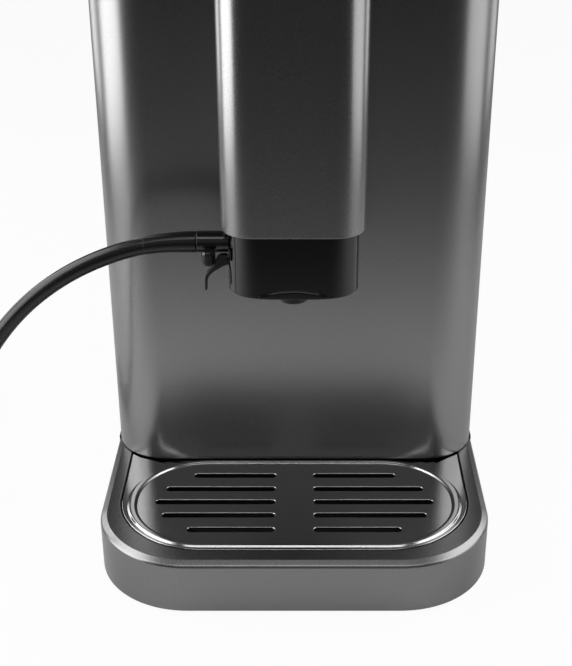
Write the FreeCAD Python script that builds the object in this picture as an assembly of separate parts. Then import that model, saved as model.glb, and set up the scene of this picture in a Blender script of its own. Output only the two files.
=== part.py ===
import FreeCAD, Part
import math
import os

from FreeCAD import Vector

# Bean-to-cup coffee maker: steel front, column with a sliding spout, drip tray, hopper, tank and works.
# Millimetres. X to the right, Y to the back, Z up; the origin is under the middle of the machine.
# Depths are given as f, the distance back from the face of the front panel, and Y(f) turns f into Y.

# Driving dimensions
BODY_WIDTH = 200.0
BODY_DEPTH = 330.0
TRAY_WIDTH = 202.0
TRAY_REACH = 95.0
TRAY_TOP = 31.0
CORNER_R = 28.0
TRAY_CORNER_R = 48.0
HEAD_BOTTOM = 299.0
SHELL_TOP = 333.0
COLUMN_WIDTH = 67.2
COLUMN_REACH = 64.0
COLUMN_BOTTOM = 188.5
SPOUT_BOTTOM = 158.5
HOSE_DIAMETER = 8.4

# Values worked out from them, and walls that many pieces share
FRONT_Y = TRAY_REACH - (TRAY_REACH + BODY_DEPTH) / 2
HALF_BODY = BODY_WIDTH / 2
HALF_TRAY = TRAY_WIDTH / 2
HALF_COLUMN = COLUMN_WIDTH / 2
PLINTH_BOTTOM = 2.5
PLINTH_FLOOR = 5.5
SEAM = 25.6
SHEET = 1.2
WALL = 2.5
REAR_CORNER_R = 12.0
PANEL_REAR = 35.0
SIDE_REAR = 322.0
UP = Vector(0, 0, 1)

# Every finished piece by its name
PARTS = {}


def Y(f):
    """The frame's Y of a depth f behind the front panel's face."""
    return FRONT_Y + f


def block(x0, x1, f0, f1, z0, z1):
    """A box between two X, two depths and two heights."""
    return Part.makeBox(x1 - x0, f1 - f0, z1 - z0, Vector(x0, Y(f0), z0))


def post(x, f, z0, z1, radius):
    """An upright cylinder."""
    return Part.makeCylinder(radius, z1 - z0, Vector(x, Y(f), z0), UP)


def bar_x(x0, x1, f, z, radius):
    """A cylinder that runs along X."""
    return Part.makeCylinder(radius, x1 - x0, Vector(x0, Y(f), z), Vector(1, 0, 0))


def bar_y(x, f0, f1, z, radius):
    """A cylinder that runs along Y."""
    return Part.makeCylinder(radius, f1 - f0, Vector(x, Y(f0), z), Vector(0, 1, 0))


def outline(x0, x1, f0, f1, front_r, rear_r, z):
    """A closed plan outline with rounded front and rear corners, as a wire of lines and arcs."""
    corners = [(x0, f0, front_r), (x1, f0, front_r), (x1, f1, rear_r), (x0, f1, rear_r)]
    pieces = []
    ends = []
    for i, (x, f, radius) in enumerate(corners):
        here = Vector(x, Y(f), z)
        back = Vector(*corners[i - 1][:2], 0) - Vector(x, f, 0)
        ahead = Vector(*corners[(i + 1) % 4][:2], 0) - Vector(x, f, 0)
        back.normalize()
        ahead.normalize()
        if radius:
            centre = here + (back + ahead) * radius
            middle = centre - (back + ahead) * (radius / math.sqrt(2))
            ends.append((here + back * radius, middle, here + ahead * radius))
        else:
            ends.append((here, None, here))
    for i, (start, middle, end) in enumerate(ends):
        before = ends[i - 1][2]
        if before.distanceToPoint(start) > 1e-6:
            pieces.append(Part.makeLine(before, start))
        if middle is not None:
            pieces.append(Part.Arc(start, middle, end).toShape())
    return Part.Wire(Part.__sortEdges__(pieces))


def slab(x0, x1, f0, f1, z0, z1, front_r=0.0, rear_r=0.0):
    """An upright prism over a plan outline with rounded corners."""
    face = Part.Face(outline(x0, x1, f0, f1, front_r, rear_r, z0))
    return face.extrude(Vector(0, 0, z1 - z0))


def polygon_prism(points, along):
    """A prism over a closed flat polygon."""
    return Part.Face(Part.makePolygon(points + [points[0]])).extrude(along)


def side_profile(points, half_width):
    """A prism along X over a polygon of (f, z) points."""
    return polygon_prism([Vector(-half_width, Y(f), z) for f, z in points], Vector(2 * half_width, 0, 0))


def fused(shapes):
    """One clean solid from shapes that touch or overlap."""
    first = shapes[0]
    return first.multiFuse(shapes[1:]).removeSplitter() if len(shapes) > 1 else first


def group(shapes):
    """Several separate solids in one node."""
    return Part.makeCompound(shapes)


def rounded(shape, radius, chosen):
    """The shape with the edges that a test picks rounded."""
    edges = [e for e in shape.Edges if chosen(e)]
    return shape.makeFillet(radius, edges)


def at_height(edge, z, tol=0.01):
    """Whether an edge lies level at a height."""
    box = edge.BoundBox
    return abs(box.ZMin - z) < tol and abs(box.ZMax - z) < tol


def tapered(x0, x1, f0, f1, z0, z1, inset, front_r, rear_r=0.0):
    """A slab whose walls lean in by the inset from its foot to its top."""
    foot = outline(x0, x1, f0, f1, front_r, rear_r, z0)
    rear_top = max(rear_r - inset, 0.0)
    top = outline(x0 + inset, x1 - inset, f0 + inset, f1 - inset, front_r - inset, rear_top, z1)
    return Part.makeLoft([foot, top], True, True)


def turned(profile, x, f, z, axis=UP):
    """A solid of revolution from (radius, height) points, set with its foot at a point along an axis."""
    points = [Vector(r, 0, h) for r, h in profile]
    face = Part.Face(Part.makePolygon(points + [points[0]]))
    solid = face.revolve(Vector(0, 0, 0), UP, 360)
    solid.Placement = FreeCAD.Placement(Vector(x, Y(f), z), FreeCAD.Rotation(UP, axis))
    return solid


def tube(places, radius, largest=None, share=0.45):
    """A round bar on straight runs joined by tangent arcs, each arc as large as its two runs allow.

    Takes (x, f, z) places, and gives the solid, the arcs' radii and the length of its centre line.
    """
    points = [Vector(x, Y(f), z) for x, f, z in places]
    stretches = []
    radii = []
    length = 0.0
    last = points[0]
    for before, corner, after in zip(points, points[1:], points[2:]):
        back = before - corner
        ahead = after - corner
        turn = math.pi - back.getAngle(ahead)
        reach = share * min(back.Length, ahead.Length)
        bend = reach / math.tan(turn / 2)
        if largest and bend > largest:
            bend = largest
            reach = bend * math.tan(turn / 2)
        back.normalize()
        ahead.normalize()
        square = back.cross(ahead).cross(back).normalize()
        start = corner + back * reach
        disc = Part.Face(Part.Wire(Part.makeCircle(radius, last, corner - last)))
        stretches.append(disc.extrude(start - last))
        disc = Part.Face(Part.Wire(Part.makeCircle(radius, start, back * -1)))
        axis = ahead.cross(back)
        stretches.append(disc.revolve(start + square * bend, axis, math.degrees(turn)))
        length += (start - last).Length + bend * turn
        last = corner + ahead * reach
        radii.append(bend)
    disc = Part.Face(Part.Wire(Part.makeCircle(radius, last, points[-1] - last)))
    stretches.append(disc.extrude(points[-1] - last))
    length += (points[-1] - last).Length
    return stretches[0].multiFuse(stretches[1:]), radii, length


def gear(teeth, module, x, f, z0, z1, turn=0.0, first=0, count=None, hub=0.0):
    """A spur gear, or a sector of one, with involute flanks and a little backlash."""
    pressure = math.radians(25)
    pitch_r = teeth * module / 2
    base_r = pitch_r * math.cos(pressure)
    root_r = pitch_r - 1.2 * module
    tip_r = pitch_r + 0.9 * module
    backlash = 0.1 * module

    def involute(angle):
        return math.tan(angle) - angle

    def half_angle(r):
        at = math.acos(min(1.0, base_r / r))
        return math.pi / (2 * teeth) + involute(pressure) - involute(at) - backlash / pitch_r

    flank = [max(root_r, base_r), pitch_r, tip_r]
    side = [(root_r, half_angle(flank[0]))] + [(r, half_angle(r)) for r in flank]
    if root_r >= base_r:
        side = side[1:]
    count = count or teeth
    points = []
    for tooth in range(first, first + count):
        middle = turn + 2 * math.pi * tooth / teeth
        points += [(r, middle - a) for r, a in side]
        points += [(r, middle + a) for r, a in reversed(side)]
    if count < teeth:
        points.append((hub, points[-1][1]))
        points.append((hub, points[0][1]))
    flat = [Vector(x + r * math.cos(a), Y(f) + r * math.sin(a), z0) for r, a in points]
    return polygon_prism(flat, Vector(0, 0, z1 - z0))


# Plinth: black moulding with the tray's bay in front, closed behind, on four rubber feet
BAY_HALF = 98.0
TRAY_STOP = 127.0
STOP_THICK = 3.0
STOP_TOP = 27.0
TONGUE_HALF = 94.0
TONGUE_FRONT = -80.0
LEDGE_X = 96.0
LEDGE_HALF = 2.2
RIB_PLACES = (-40, 40)
RIB_TOP = 22.0
VENT_HALF = 1.5
VENT_PITCH = 8
VENT_REACH = (190.0, 250.0)
FOOT_R = 10.0
FOOT_PLACES = [(-74, -54), (74, -54), (-82, 306), (82, 306)]


def base_plate():
    """Plinth with the stop that the tray slides home against, the deck's ledges and vents in its floor."""
    plinth = slab(-HALF_TRAY, HALF_TRAY, SEAM, BODY_DEPTH, PLINTH_BOTTOM, TRAY_TOP, 0, REAR_CORNER_R)
    back = BODY_DEPTH - STOP_THICK
    bay_r = REAR_CORNER_R - STOP_THICK
    bay = slab(-BAY_HALF, BAY_HALF, SEAM - 1, back, PLINTH_FLOOR, TRAY_TOP + 1, 0, bay_r)
    tongue = slab(-TONGUE_HALF, TONGUE_HALF, TONGUE_FRONT, SEAM, PLINTH_BOTTOM, PLINTH_FLOOR, 36, 0)
    stop = block(-BAY_HALF, BAY_HALF, TRAY_STOP, TRAY_STOP + STOP_THICK, PLINTH_FLOOR, STOP_TOP)
    ledges = []
    for x in (-LEDGE_X, LEDGE_X):
        ledge = block(x - LEDGE_HALF, x + LEDGE_HALF, TRAY_STOP, BODY_DEPTH - 12, STOP_TOP - 1, TRAY_TOP)
        ledges.append(ledge)
    ribs = [block(x - 1, x + 1, TRAY_STOP + STOP_THICK, back, PLINTH_FLOOR, RIB_TOP) for x in RIB_PLACES]
    vents = []
    for x in range(-3 * VENT_PITCH, 3 * VENT_PITCH + 1, VENT_PITCH):
        vents.append(slab(x - VENT_HALF, x + VENT_HALF, *VENT_REACH, 0, 8, VENT_HALF - 0.1, VENT_HALF - 0.1))
    return fused([plinth.cut(bay), tongue, stop] + ledges + ribs).cut(group(vents))


def rubber_feet():
    """Four round feet with an eased lower edge."""
    profile = [(0, 0), (FOOT_R - 1, 0), (FOOT_R, 0.8), (FOOT_R, PLINTH_BOTTOM), (0, PLINTH_BOTTOM)]
    return group([turned(profile, x, f, 0) for x, f in FOOT_PLACES])


PARTS["base_plate"] = base_plate()
PARTS["rubber_feet"] = rubber_feet()

# Drip tray: satin steel band, black basin, grounds container at its rear and the pressed grid on top
GRID_HALF = 91.0
GRID_FRONT = -83.3
GRID_CORNER_R = 37.0
GRID_GAP = 0.7
GRID_THICK = 1.0
GRID_FOOT = 27.0
RIM_BEVEL = 3.5
RING_FRONT = -76.7
RING_REAR = -4.6
RING_HALF = 83.1
RING_WIDTH = 5.4
RING_HEIGHT = 1.1
SLOT_WIDTH = 4.0
SLOT_WEB = 10.0
SLOT_ROWS = [(-16.1, 54.0), (-29.1, 68.0), (-41.4, 72.5), (-53.5, 68.0), (-66.3, 54.0)]
BAND_REAR = SEAM - 0.3
BAND_BOTTOM = 2.0
BAND_WALL = TRAY_WIDTH / 2 - BAY_HALF
RIM_THICK = 3.0
FACE_TOP = 29.9
FACE_ROUND = 1.6
BASIN_GAP = 0.6
BASIN_WALL = 2.0
BASIN_BOTTOM = 6.2
BASIN_DIVIDE = 8.0
LEDGE_TOP = 26.7
LEDGE_THICK = 3.2
GROUNDS_HALF = 90.5
GROUNDS_FRONT = 12.5
GROUNDS_TOP = 29.5


def tray_band():
    """The visible band: upright face, rounded edge, bevel and flat rim, with a mouth for the grid."""
    front = -TRAY_REACH
    lower = slab(-HALF_TRAY, HALF_TRAY, front, BAND_REAR, BAND_BOTTOM, FACE_TOP, TRAY_CORNER_R, 0)
    reach = BAND_REAR + RIM_BEVEL
    bevel = tapered(-HALF_TRAY, HALF_TRAY, front, reach, FACE_TOP, TRAY_TOP, RIM_BEVEL, TRAY_CORNER_R)
    bevel = bevel.common(block(-HALF_TRAY, HALF_TRAY, front, BAND_REAR, 0, TRAY_TOP + 1))
    band = fused([lower, bevel])
    band = rounded(band, FACE_ROUND, lambda e: at_height(e, FACE_TOP) and e.BoundBox.YMin < Y(BAND_REAR) - 1)
    under_rim = TRAY_TOP - RIM_THICK
    inside_r = TRAY_CORNER_R - BAND_WALL
    inside = slab(-BAY_HALF, BAY_HALF, front + BAND_WALL, BAND_REAR + 1, 0, under_rim, inside_r, 0)
    half = GRID_HALF + GRID_GAP
    mouth_r = GRID_CORNER_R + GRID_GAP
    mouth = slab(-half, half, GRID_FRONT - GRID_GAP, BAND_REAR + 1, under_rim - 1, TRAY_TOP + 1, mouth_r, 0)
    return band.cut(fused([inside, mouth]))


def tray_basin():
    """The drip basin in front, a dry bay for the grounds container behind, and the grid's ledge."""
    half = BAY_HALF - BASIN_GAP
    front = BAND_WALL + BASIN_GAP - TRAY_REACH
    corner = TRAY_CORNER_R - BAND_WALL - BASIN_GAP
    top = TRAY_TOP - RIM_THICK
    floor = BASIN_BOTTOM + BASIN_WALL
    inner = half - BASIN_WALL
    rear = TRAY_STOP - STOP_THICK
    outer = slab(-half, half, front, rear, BASIN_BOTTOM, top, corner, 0)
    wet = slab(-inner, inner, front + BASIN_WALL, BASIN_DIVIDE, floor, TRAY_TOP, corner - BASIN_WALL, 3)
    dry = block(-inner, inner, BASIN_DIVIDE + BASIN_WALL, rear - BASIN_WALL, floor, TRAY_TOP)
    ledge_foot = LEDGE_TOP - LEDGE_THICK
    ledge = slab(1 - half, half - 1, front + 1.4, BASIN_DIVIDE + 0.5, ledge_foot, LEDGE_TOP, corner - 1.4, 0)
    window = slab(3.5 - GRID_HALF, GRID_HALF - 3.5, -79.5, 4, ledge_foot - 1, TRAY_TOP, 33, 3)
    return fused([outer.cut(fused([wet, dry])), ledge.cut(window)])


def grounds_container():
    """An open box for the spent coffee, with a low divider across it."""
    floor = BASIN_BOTTOM + BASIN_WALL
    rear = TRAY_STOP - 6.5
    inner = GROUNDS_HALF - 2
    outer = slab(-GROUNDS_HALF, GROUNDS_HALF, GROUNDS_FRONT, rear, floor, GROUNDS_TOP, 8, 8)
    hollow = slab(-inner, inner, GROUNDS_FRONT + 2, rear - 2, floor + 2, GROUNDS_TOP + 1, 6, 6)
    divider = block(-inner - 0.5, inner + 0.5, 66, 67.5, floor + 1, RIB_TOP)
    return fused([outer.cut(hollow), divider])


def grid_plan(inset, z0, z1):
    """The grid's plan: rounded in front, and following the front panel round its corners behind."""
    half = GRID_HALF - inset
    plate = slab(-half, half, GRID_FRONT + inset, CORNER_R, z0, z1, GRID_CORNER_R - inset, 0)
    behind = 1.0 + inset
    panel_half = HALF_BODY + behind
    panel = slab(-panel_half, panel_half, -behind, PANEL_REAR, z0 - 1, z1 + 1, CORNER_R + behind)
    return plate.cut(panel)


def drip_grid():
    """A plate with a folded edge, a raised ring bead with eased edges, and ten slots inside the ring."""
    top = TRAY_TOP
    sheet = grid_plan(0, GRID_FOOT, top).cut(grid_plan(GRID_THICK, GRID_FOOT - 1, top - GRID_THICK))
    outer_half = RING_HALF + RING_WIDTH
    inner_r = (RING_REAR - RING_FRONT) / 2 - 1
    crest = top + RING_HEIGHT
    ring_rear = RING_REAR + RING_WIDTH - 2.2
    ring = slab(-outer_half, outer_half, RING_FRONT - RING_WIDTH, ring_rear, top - 0.5, crest, 40, 38)
    ring = ring.cut(slab(-RING_HALF, RING_HALF, RING_FRONT, RING_REAR, top - 1, crest + 1, inner_r, inner_r))
    ring = ring.makeChamfer(RING_HEIGHT - 0.2, [e for e in ring.Edges if at_height(e, crest)])
    slots = []
    half = SLOT_WIDTH / 2
    for f, reach in SLOT_ROWS:
        for x0, x1 in ((-reach, -SLOT_WEB), (SLOT_WEB, reach)):
            slots.append(slab(x0, x1, f - half, f + half, GRID_FOOT, crest, half - 0.05, half - 0.05))
    return fused([sheet, ring]).cut(group(slots))


PARTS["tray_band"] = tray_band()
PARTS["tray_basin"] = tray_basin()
PARTS["grounds_container"] = grounds_container()
PARTS["drip_grid"] = drip_grid()

# Chassis: moulded deck over the tray's bay, and an upright wall between the wet and the dry side
DECK_TOP = 34.0
PUMP_X = -62.0
PUMP_Z = 66.0
PUMP_BARREL_R = 12.0
CRADLE_REACHES = ((48, 60), (126, 138))
WALL_X = -10.5
WALL_FRONT = 14.0
WALL_REAR = 208.0
WALL_TOP = 280.0
CHUTE_HOLE = (14.0, 70.0, 74.0, 112.0)
WINDOW_PITCH = 50
WINDOW_HEIGHT = 34


def chassis_deck():
    """The deck, with the hole that spent coffee drops through and the lip round it."""
    half = HALF_BODY - SHEET - 0.2
    plate = slab(-half, half, SHEET + 0.4, SIDE_REAR - 1.4, TRAY_TOP, DECK_TOP, CORNER_R - 2, 0)
    x0, x1, f0, f1 = CHUTE_HOLE
    hole = slab(x0, x1, f0, f1, TRAY_TOP - 1, DECK_TOP + 5, 4, 4)
    lip = slab(x0 - 2, x1 + 2, f0 - 2, f1 + 2, DECK_TOP - 1, DECK_TOP + 4, 5, 5)
    return fused([plate, lip] + pump_cradles()).cut(hole)


def pump_cradles():
    """Two saddles moulded on the deck that the pump's barrel lies in."""
    made = []
    for f0, f1 in CRADLE_REACHES:
        saddle = block(PUMP_X - 16, PUMP_X + 16, f0, f1, DECK_TOP - 1, PUMP_Z)
        made.append(saddle.cut(bar_y(PUMP_X, f0 - 1, f1 + 1, PUMP_Z, PUMP_BARREL_R)))
    return made


def centre_wall():
    """An upright wall with a foot flange, three ribs and a column of four windows for pipes and leads."""
    wall = block(WALL_X - 1.5, WALL_X + 1.5, WALL_FRONT, WALL_REAR, DECK_TOP, WALL_TOP)
    foot = block(WALL_X - 8, WALL_X + 8, WALL_FRONT, WALL_REAR, DECK_TOP, DECK_TOP + 3)
    ribs = [block(WALL_X - 5, WALL_X + 1, f, f + 2, DECK_TOP, WALL_TOP - 10) for f in (30, 140, 200)]
    windows = []
    for i in range(4):
        foot_z = 60 + i * WINDOW_PITCH
        windows.append(block(WALL_X - 9, WALL_X + 9, 150, 186, foot_z, foot_z + WINDOW_HEIGHT))
    return fused([wall, foot] + ribs).cut(group(windows))


PARTS["chassis_deck"] = chassis_deck()
PARTS["centre_wall"] = centre_wall()

# Skin: steel sheet round the front and sides, moulded rear panel and top cover
DOOR_FRONT = 52.0
DOOR_REAR = 222.0
DOOR_BOTTOM = 44.0
DOOR_TOP = 258.0
HINGE_X = 93.0
HINGE_F = 217.0
PIN_R = 2.0
TAB_THICK = 3.0
TAB_HEIGHTS = (DOOR_BOTTOM + 3.5, DOOR_TOP - 6.5)
INLET_X = 58.0
INLET_Z = 62.0
SWITCH_Z = 92.0
HEAD_HOSE_Z = 308.0
SCREW_X = 87.0
SCREW_HEIGHTS = (48, 180, 318)
LOUVRE_PITCH = 9
LOUVRE_HEIGHT = 3


def front_panel():
    """The sheet bent round both front corners, with a port for the hoses behind the control head."""
    outer = slab(-HALF_BODY, HALF_BODY, 0, PANEL_REAR, TRAY_TOP + 1, SHELL_TOP, CORNER_R, 0)
    half = HALF_BODY - SHEET
    inner = slab(-half, half, SHEET, PANEL_REAR + 1, 0, SHELL_TOP + 1, CORNER_R - SHEET, 0)
    hose_port = block(-62, 62, -5, 10, HEAD_HOSE_Z - 5, HEAD_HOSE_Z + 5)
    return outer.cut(inner).cut(hose_port)


def side_panel(side):
    """A flat sheet with a return at its rear edge; side is -1 for the left and 1 for the right."""
    flange = 18
    sheet = block(HALF_BODY - SHEET, HALF_BODY, PANEL_REAR, SIDE_REAR, TRAY_TOP, SHELL_TOP)
    back = block(HALF_BODY - flange, HALF_BODY, SIDE_REAR - SHEET, SIDE_REAR, TRAY_TOP, SHELL_TOP)
    panel = fused([sheet, back])
    if side < 0:
        panel = panel.mirror(Vector(0, 0, 0), Vector(1, 0, 0))
    return panel


def hinge_brackets():
    """Two goosenecked tabs behind the door's rear edge, each with a bore for a hinge pin."""
    tabs = []
    root_x = HALF_BODY - 22
    for z in TAB_HEIGHTS:
        top = z + TAB_THICK
        eye = post(HINGE_X, HINGE_F, z, top, 4.3)
        arm = block(root_x, HINGE_X, HINGE_F - 4, HINGE_F + 4, z, top)
        neck = block(root_x, root_x + 7.2, HINGE_F - 4, DOOR_REAR + 12, z, top)
        root = block(root_x, HALF_BODY - 0.5, DOOR_REAR + 6, DOOR_REAR + 12, z, top)
        bore = post(HINGE_X, HINGE_F, z - 1, top + 1, PIN_R + 0.05)
        tabs.append(fused([eye, arm, neck, root]).cut(bore))
    return tabs


def right_panel():
    """The right side sheet with the service door's opening and its hinge brackets."""
    gap = 0.8
    low = DOOR_BOTTOM - gap
    high = DOOR_TOP + gap
    opening = block(HALF_BODY - 10, HALF_BODY + 10, DOOR_FRONT - gap, DOOR_REAR + 2.5, low, high)
    return fused([side_panel(1).cut(opening)] + hinge_brackets())


def on_door_edge(edge):
    """Whether an edge is the door skin's outer upright edge at the hinge side."""
    box = edge.BoundBox
    at_rear = abs(box.YMin - Y(DOOR_REAR)) < 0.01 and abs(box.YMax - Y(DOOR_REAR)) < 0.01
    return at_rear and abs(box.XMin - HALF_BODY) < 0.01


def service_door():
    """Flush door with stiffening ribs, a finger notch in its front edge and pins at its rear edge."""
    skin = block(HALF_BODY - 2.4, HALF_BODY, DOOR_FRONT, DOOR_REAR, DOOR_BOTTOM, DOOR_TOP)
    skin = rounded(skin, 2.2, on_door_edge)
    notch_z = (DOOR_BOTTOM + DOOR_TOP) / 2
    notch = bar_x(HALF_BODY - 15, HALF_BODY + 5, DOOR_FRONT - 2, notch_z, 9)
    ribs = []
    for z in (notch_z - 61, notch_z - 1, notch_z + 59):
        ribs.append(block(HALF_BODY - 6, HALF_BODY - 2, DOOR_FRONT + 14, DOOR_REAR - 14, z, z + 2))
    ears = []
    pins = []
    for ear, pin in ((DOOR_BOTTOM, DOOR_BOTTOM + 1), (DOOR_TOP - 3, DOOR_TOP - 6.5)):
        ears.append(block(HINGE_X - 4, HALF_BODY - 1, HINGE_F - 4, HINGE_F + 3.2, ear, ear + 3))
        pins.append(post(HINGE_X, HINGE_F, pin, pin + 5.5, PIN_R))
    return fused([skin.cut(notch)] + ribs + ears + pins)


def rear_panel():
    """The moulded back: a shallow tray with ten louvres, and two holes for the inlet and the switch."""
    outer_r = REAR_CORNER_R - 4
    outer = slab(-HALF_BODY, HALF_BODY, SIDE_REAR, BODY_DEPTH, TRAY_TOP, SHELL_TOP, 0, outer_r)
    half = HALF_BODY - WALL
    back = BODY_DEPTH - WALL
    inner = slab(-half, half, SIDE_REAR - 1, back, TRAY_TOP + WALL, SHELL_TOP - WALL, 0, outer_r - WALL)
    holes = [block(INLET_X - 14, INLET_X + 14, SIDE_REAR, BODY_DEPTH + 1, INLET_Z - 10, INLET_Z + 10)]
    holes.append(block(INLET_X - 11, INLET_X + 11, SIDE_REAR, BODY_DEPTH + 1, SWITCH_Z - 7.5, SWITCH_Z + 7.5))
    for i in range(10):
        z = 190 + i * LOUVRE_PITCH
        holes.append(block(18, 86, SIDE_REAR, BODY_DEPTH + 1, z, z + LOUVRE_HEIGHT))
    return outer.cut(inner).cut(group(holes))


def rear_screws():
    """Six countersunk screws, three up each side of the rear panel."""
    profile = [(0, 0), (3.2, 0), (3.2, 1.2), (1.9, 2.0), (1.9, 9.6), (0, 9.6)]
    made = []
    for x in (-SCREW_X, SCREW_X):
        for z in SCREW_HEIGHTS:
            made.append(turned(profile, x, BODY_DEPTH - 0.3, z, Vector(0, -1, 0)))
    return group(made)


PARTS["rear_screws"] = rear_screws()
PARTS["front_panel"] = front_panel()
PARTS["left_panel"] = side_panel(-1).cut(rear_screws())
PARTS["right_panel"] = right_panel().cut(rear_screws())
PARTS["service_door"] = service_door()
PARTS["rear_panel"] = rear_panel().cut(rear_screws())

# Top cover, bean hopper with its lid, and the grinder under it
GRINDER_X = 42.0
GRINDER_F = 120.0
HOPPER = (-26.0, 90.0, 62.0, 190.0)
TANK = (-95.0, -5.0, 217.0, 320.0)
COVER_TOP = 338.0
COVER_SKIN = 335.5
LID_GAP = 0.6
BARREL_R = 2.5
HOPPER_BARREL = HOPPER[3] - 3.0
TANK_BARREL = TANK[3] - 5.0
SECTOR_TEETH = 98
PINION_TEETH = 16
ADJUST_MODULE = 1.5
KNOB_X = GRINDER_X - (SECTOR_TEETH + PINION_TEETH) * ADJUST_MODULE / 2
KNOB_F = GRINDER_F
KNOB_R = 15.0
SHAFT_R = 4.0
BEARING_GAP = 0.06
MOTOR_SHAFT_F = 184.0
GEARBOX_FOOT = 208.0
GEARBOX_TOP = 224.0


def lid_hinge_bores(box, barrel_f, reach=4.5):
    """The two bores that a barrel-hinged lid's end pins turn in."""
    x0, x1 = box[0], box[1]
    left = bar_x(x0 - reach, x0 + 1, barrel_f, COVER_SKIN, 1.55)
    right = bar_x(x1 - 1, x1 + reach, barrel_f, COVER_SKIN, 1.55)
    return [left, right]


def top_cover():
    """The cover: a shallow shell with rimmed mouths for the beans and the tank and the knob's bearing."""
    front = 0.4
    outer = slab(-HALF_BODY, HALF_BODY, front, BODY_DEPTH, SHELL_TOP, COVER_TOP, 0, REAR_CORNER_R - 4)
    outer = rounded(outer, 1.5, lambda e: at_height(e, COVER_TOP) and e.BoundBox.YMax > Y(0.5))
    half = HALF_BODY - WALL
    inner = slab(-half, half, front + WALL, BODY_DEPTH - WALL, SHELL_TOP - 1, COVER_SKIN, 0, 5.5)
    low = SHELL_TOP - 10
    high = COVER_TOP + 10
    rim_top = COVER_SKIN + 1
    x0, x1, f0, f1 = HOPPER
    bean_mouth = slab(x0, x1, f0, f1, low, high, 6, 0)
    bean_rim = slab(x0 - 6, x1 + 6, f0 - 3, f1 + 3, SHELL_TOP, rim_top, 8, 0)
    x0, x1, f0, f1 = TANK
    tank_mouth = slab(x0 - 1, x1 + 1, f0 - 1, f1 + 1, low, high, 6, 1.2)
    tank_rim = slab(x0 - 3, x1 + 3, f0 - 3, f1 + 3, SHELL_TOP, rim_top, 8, 3)
    shaft_boss = post(KNOB_X, KNOB_F, COVER_SKIN - 8, rim_top, 2 * SHAFT_R)
    shaft_bore = post(KNOB_X, KNOB_F, low, high, SHAFT_R + BEARING_GAP)
    shell = fused([outer.cut(inner), bean_rim, tank_rim, shaft_boss])
    return shell.cut(fused([bean_mouth, tank_mouth, shaft_bore] + lid_hinge_bores(HOPPER, HOPPER_BARREL)))


def barrel_lid(box, barrel_f, notch_side):
    """A lid with a barrel along its rear edge, end pins, a shallow rim below and a finger scoop in front."""
    x0, x1, f0, f1 = box
    left, right = x0 + LID_GAP, x1 - LID_GAP
    plate = slab(left, right, f0 + LID_GAP, barrel_f, COVER_SKIN, COVER_TOP, 5.4, 0)
    barrel = bar_x(left, right, barrel_f, COVER_SKIN, BARREL_R)
    pin = bar_x(x0 - 4, x1 + 4, barrel_f, COVER_SKIN, 1.5)
    skirt = slab(left + 4, right - 4, f0 + 5, barrel_f - 8, COVER_SKIN - 4, COVER_SKIN, 3, 3)
    skirt = skirt.cut(slab(left + 6, right - 6, f0 + 7, barrel_f - 10, COVER_SKIN - 5, COVER_SKIN, 2, 2))
    lid = fused([plate, barrel, pin, skirt])
    scoop = turned([(0, 0), (9, 0), (11, 4), (0, 4)], notch_side, f0 + 3, COVER_TOP - 1.2)
    return lid.cut(scoop)


def funnel(radius, foot, spread, depth):
    """A cone that opens upwards from a neck."""
    return Part.makeCone(radius, radius + spread, depth, Vector(GRINDER_X, Y(GRINDER_F), foot), UP)


def bean_hopper():
    """A smoked box whose floor is a funnel down to the grinder's throat."""
    x0, x1, f0, f1 = HOPPER
    low = 290.0
    brim = SHELL_TOP - 2
    throat_r = 17.5
    box = slab(x0 + 0.4, x1 - 0.4, f0 + 0.4, f1 - 8, low, brim, 8, 8)
    above = block(-HALF_BODY, HALF_BODY, 0, BODY_DEPTH, brim - 2, COVER_TOP)
    outside = fused([funnel(throat_r + 2, 293, 66, 36), above])
    inside_box = slab(x0 + 2.4, x1 - 2.4, f0 + 2.4, f1 - 10, low, COVER_TOP, 6, 6)
    inside = funnel(throat_r, 295.6, 66, 36)
    neck = post(GRINDER_X, GRINDER_F, low - 1, 296, throat_r + 2)
    throat = post(GRINDER_X, GRINDER_F, low - 2, 300, throat_r)
    return fused([box.common(outside), neck]).cut(fused([inside_box.common(inside), throat]))


def grinder_gearbox():
    """The reduction box on the centre wall, with the seat that the grinder stands on and its shaft's bore."""
    box = slab(WALL_X + 1.5, 70, 98, WALL_REAR, GEARBOX_FOOT, GEARBOX_TOP, 6, 6)
    seat = post(GRINDER_X, GRINDER_F, GEARBOX_TOP, GEARBOX_TOP + 2, 12)
    bore = post(GRINDER_X, GRINDER_F, GEARBOX_FOOT + 8, GEARBOX_TOP + 3, SHAFT_R + BEARING_GAP)
    return fused([box, seat]).cut(bore)


def grinder_motor():
    """A flat-sided can motor with its end bearing's boss."""
    profile = [(0, 0), (20, 0), (21, 1), (21, 52), (18, 55), (8, 55), (8, 59), (0, 59)]
    can = turned(profile, GRINDER_X, MOTOR_SHAFT_F, GEARBOX_TOP)
    foot = GEARBOX_TOP + 6
    return can.cut(block(GRINDER_X + 17.5, GRINDER_X + 30, 160, WALL_REAR, foot, WALL_TOP + 10))


def grinder_housing():
    """The cup round the burrs, with two screw lugs and an outlet that throws the grounds forwards."""
    foot = GEARBOX_TOP + 2
    cup = post(GRINDER_X, GRINDER_F, foot, WALL_TOP + 2, 39)
    cavity = post(GRINDER_X, GRINDER_F, foot + 3, WALL_TOP + 3, 35)
    seat_hole = post(GRINDER_X, GRINDER_F, foot - 1, foot + 4, 12.5)
    lugs = [post(GRINDER_X + x, GRINDER_F + 25, foot, foot + 14, 5) for x in (-33, 33)]
    outlet = block(GRINDER_X - 9, GRINDER_X + 9, GRINDER_F - 60, GRINDER_F - 30, foot + 3.5, foot + 17)
    spout = block(GRINDER_X - 11, GRINDER_X + 11, GRINDER_F - 46, GRINDER_F - 30, foot + 1.5, foot + 19)
    return fused([cup, spout] + lugs).cut(fused([cavity, seat_hole, outlet]))


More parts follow.
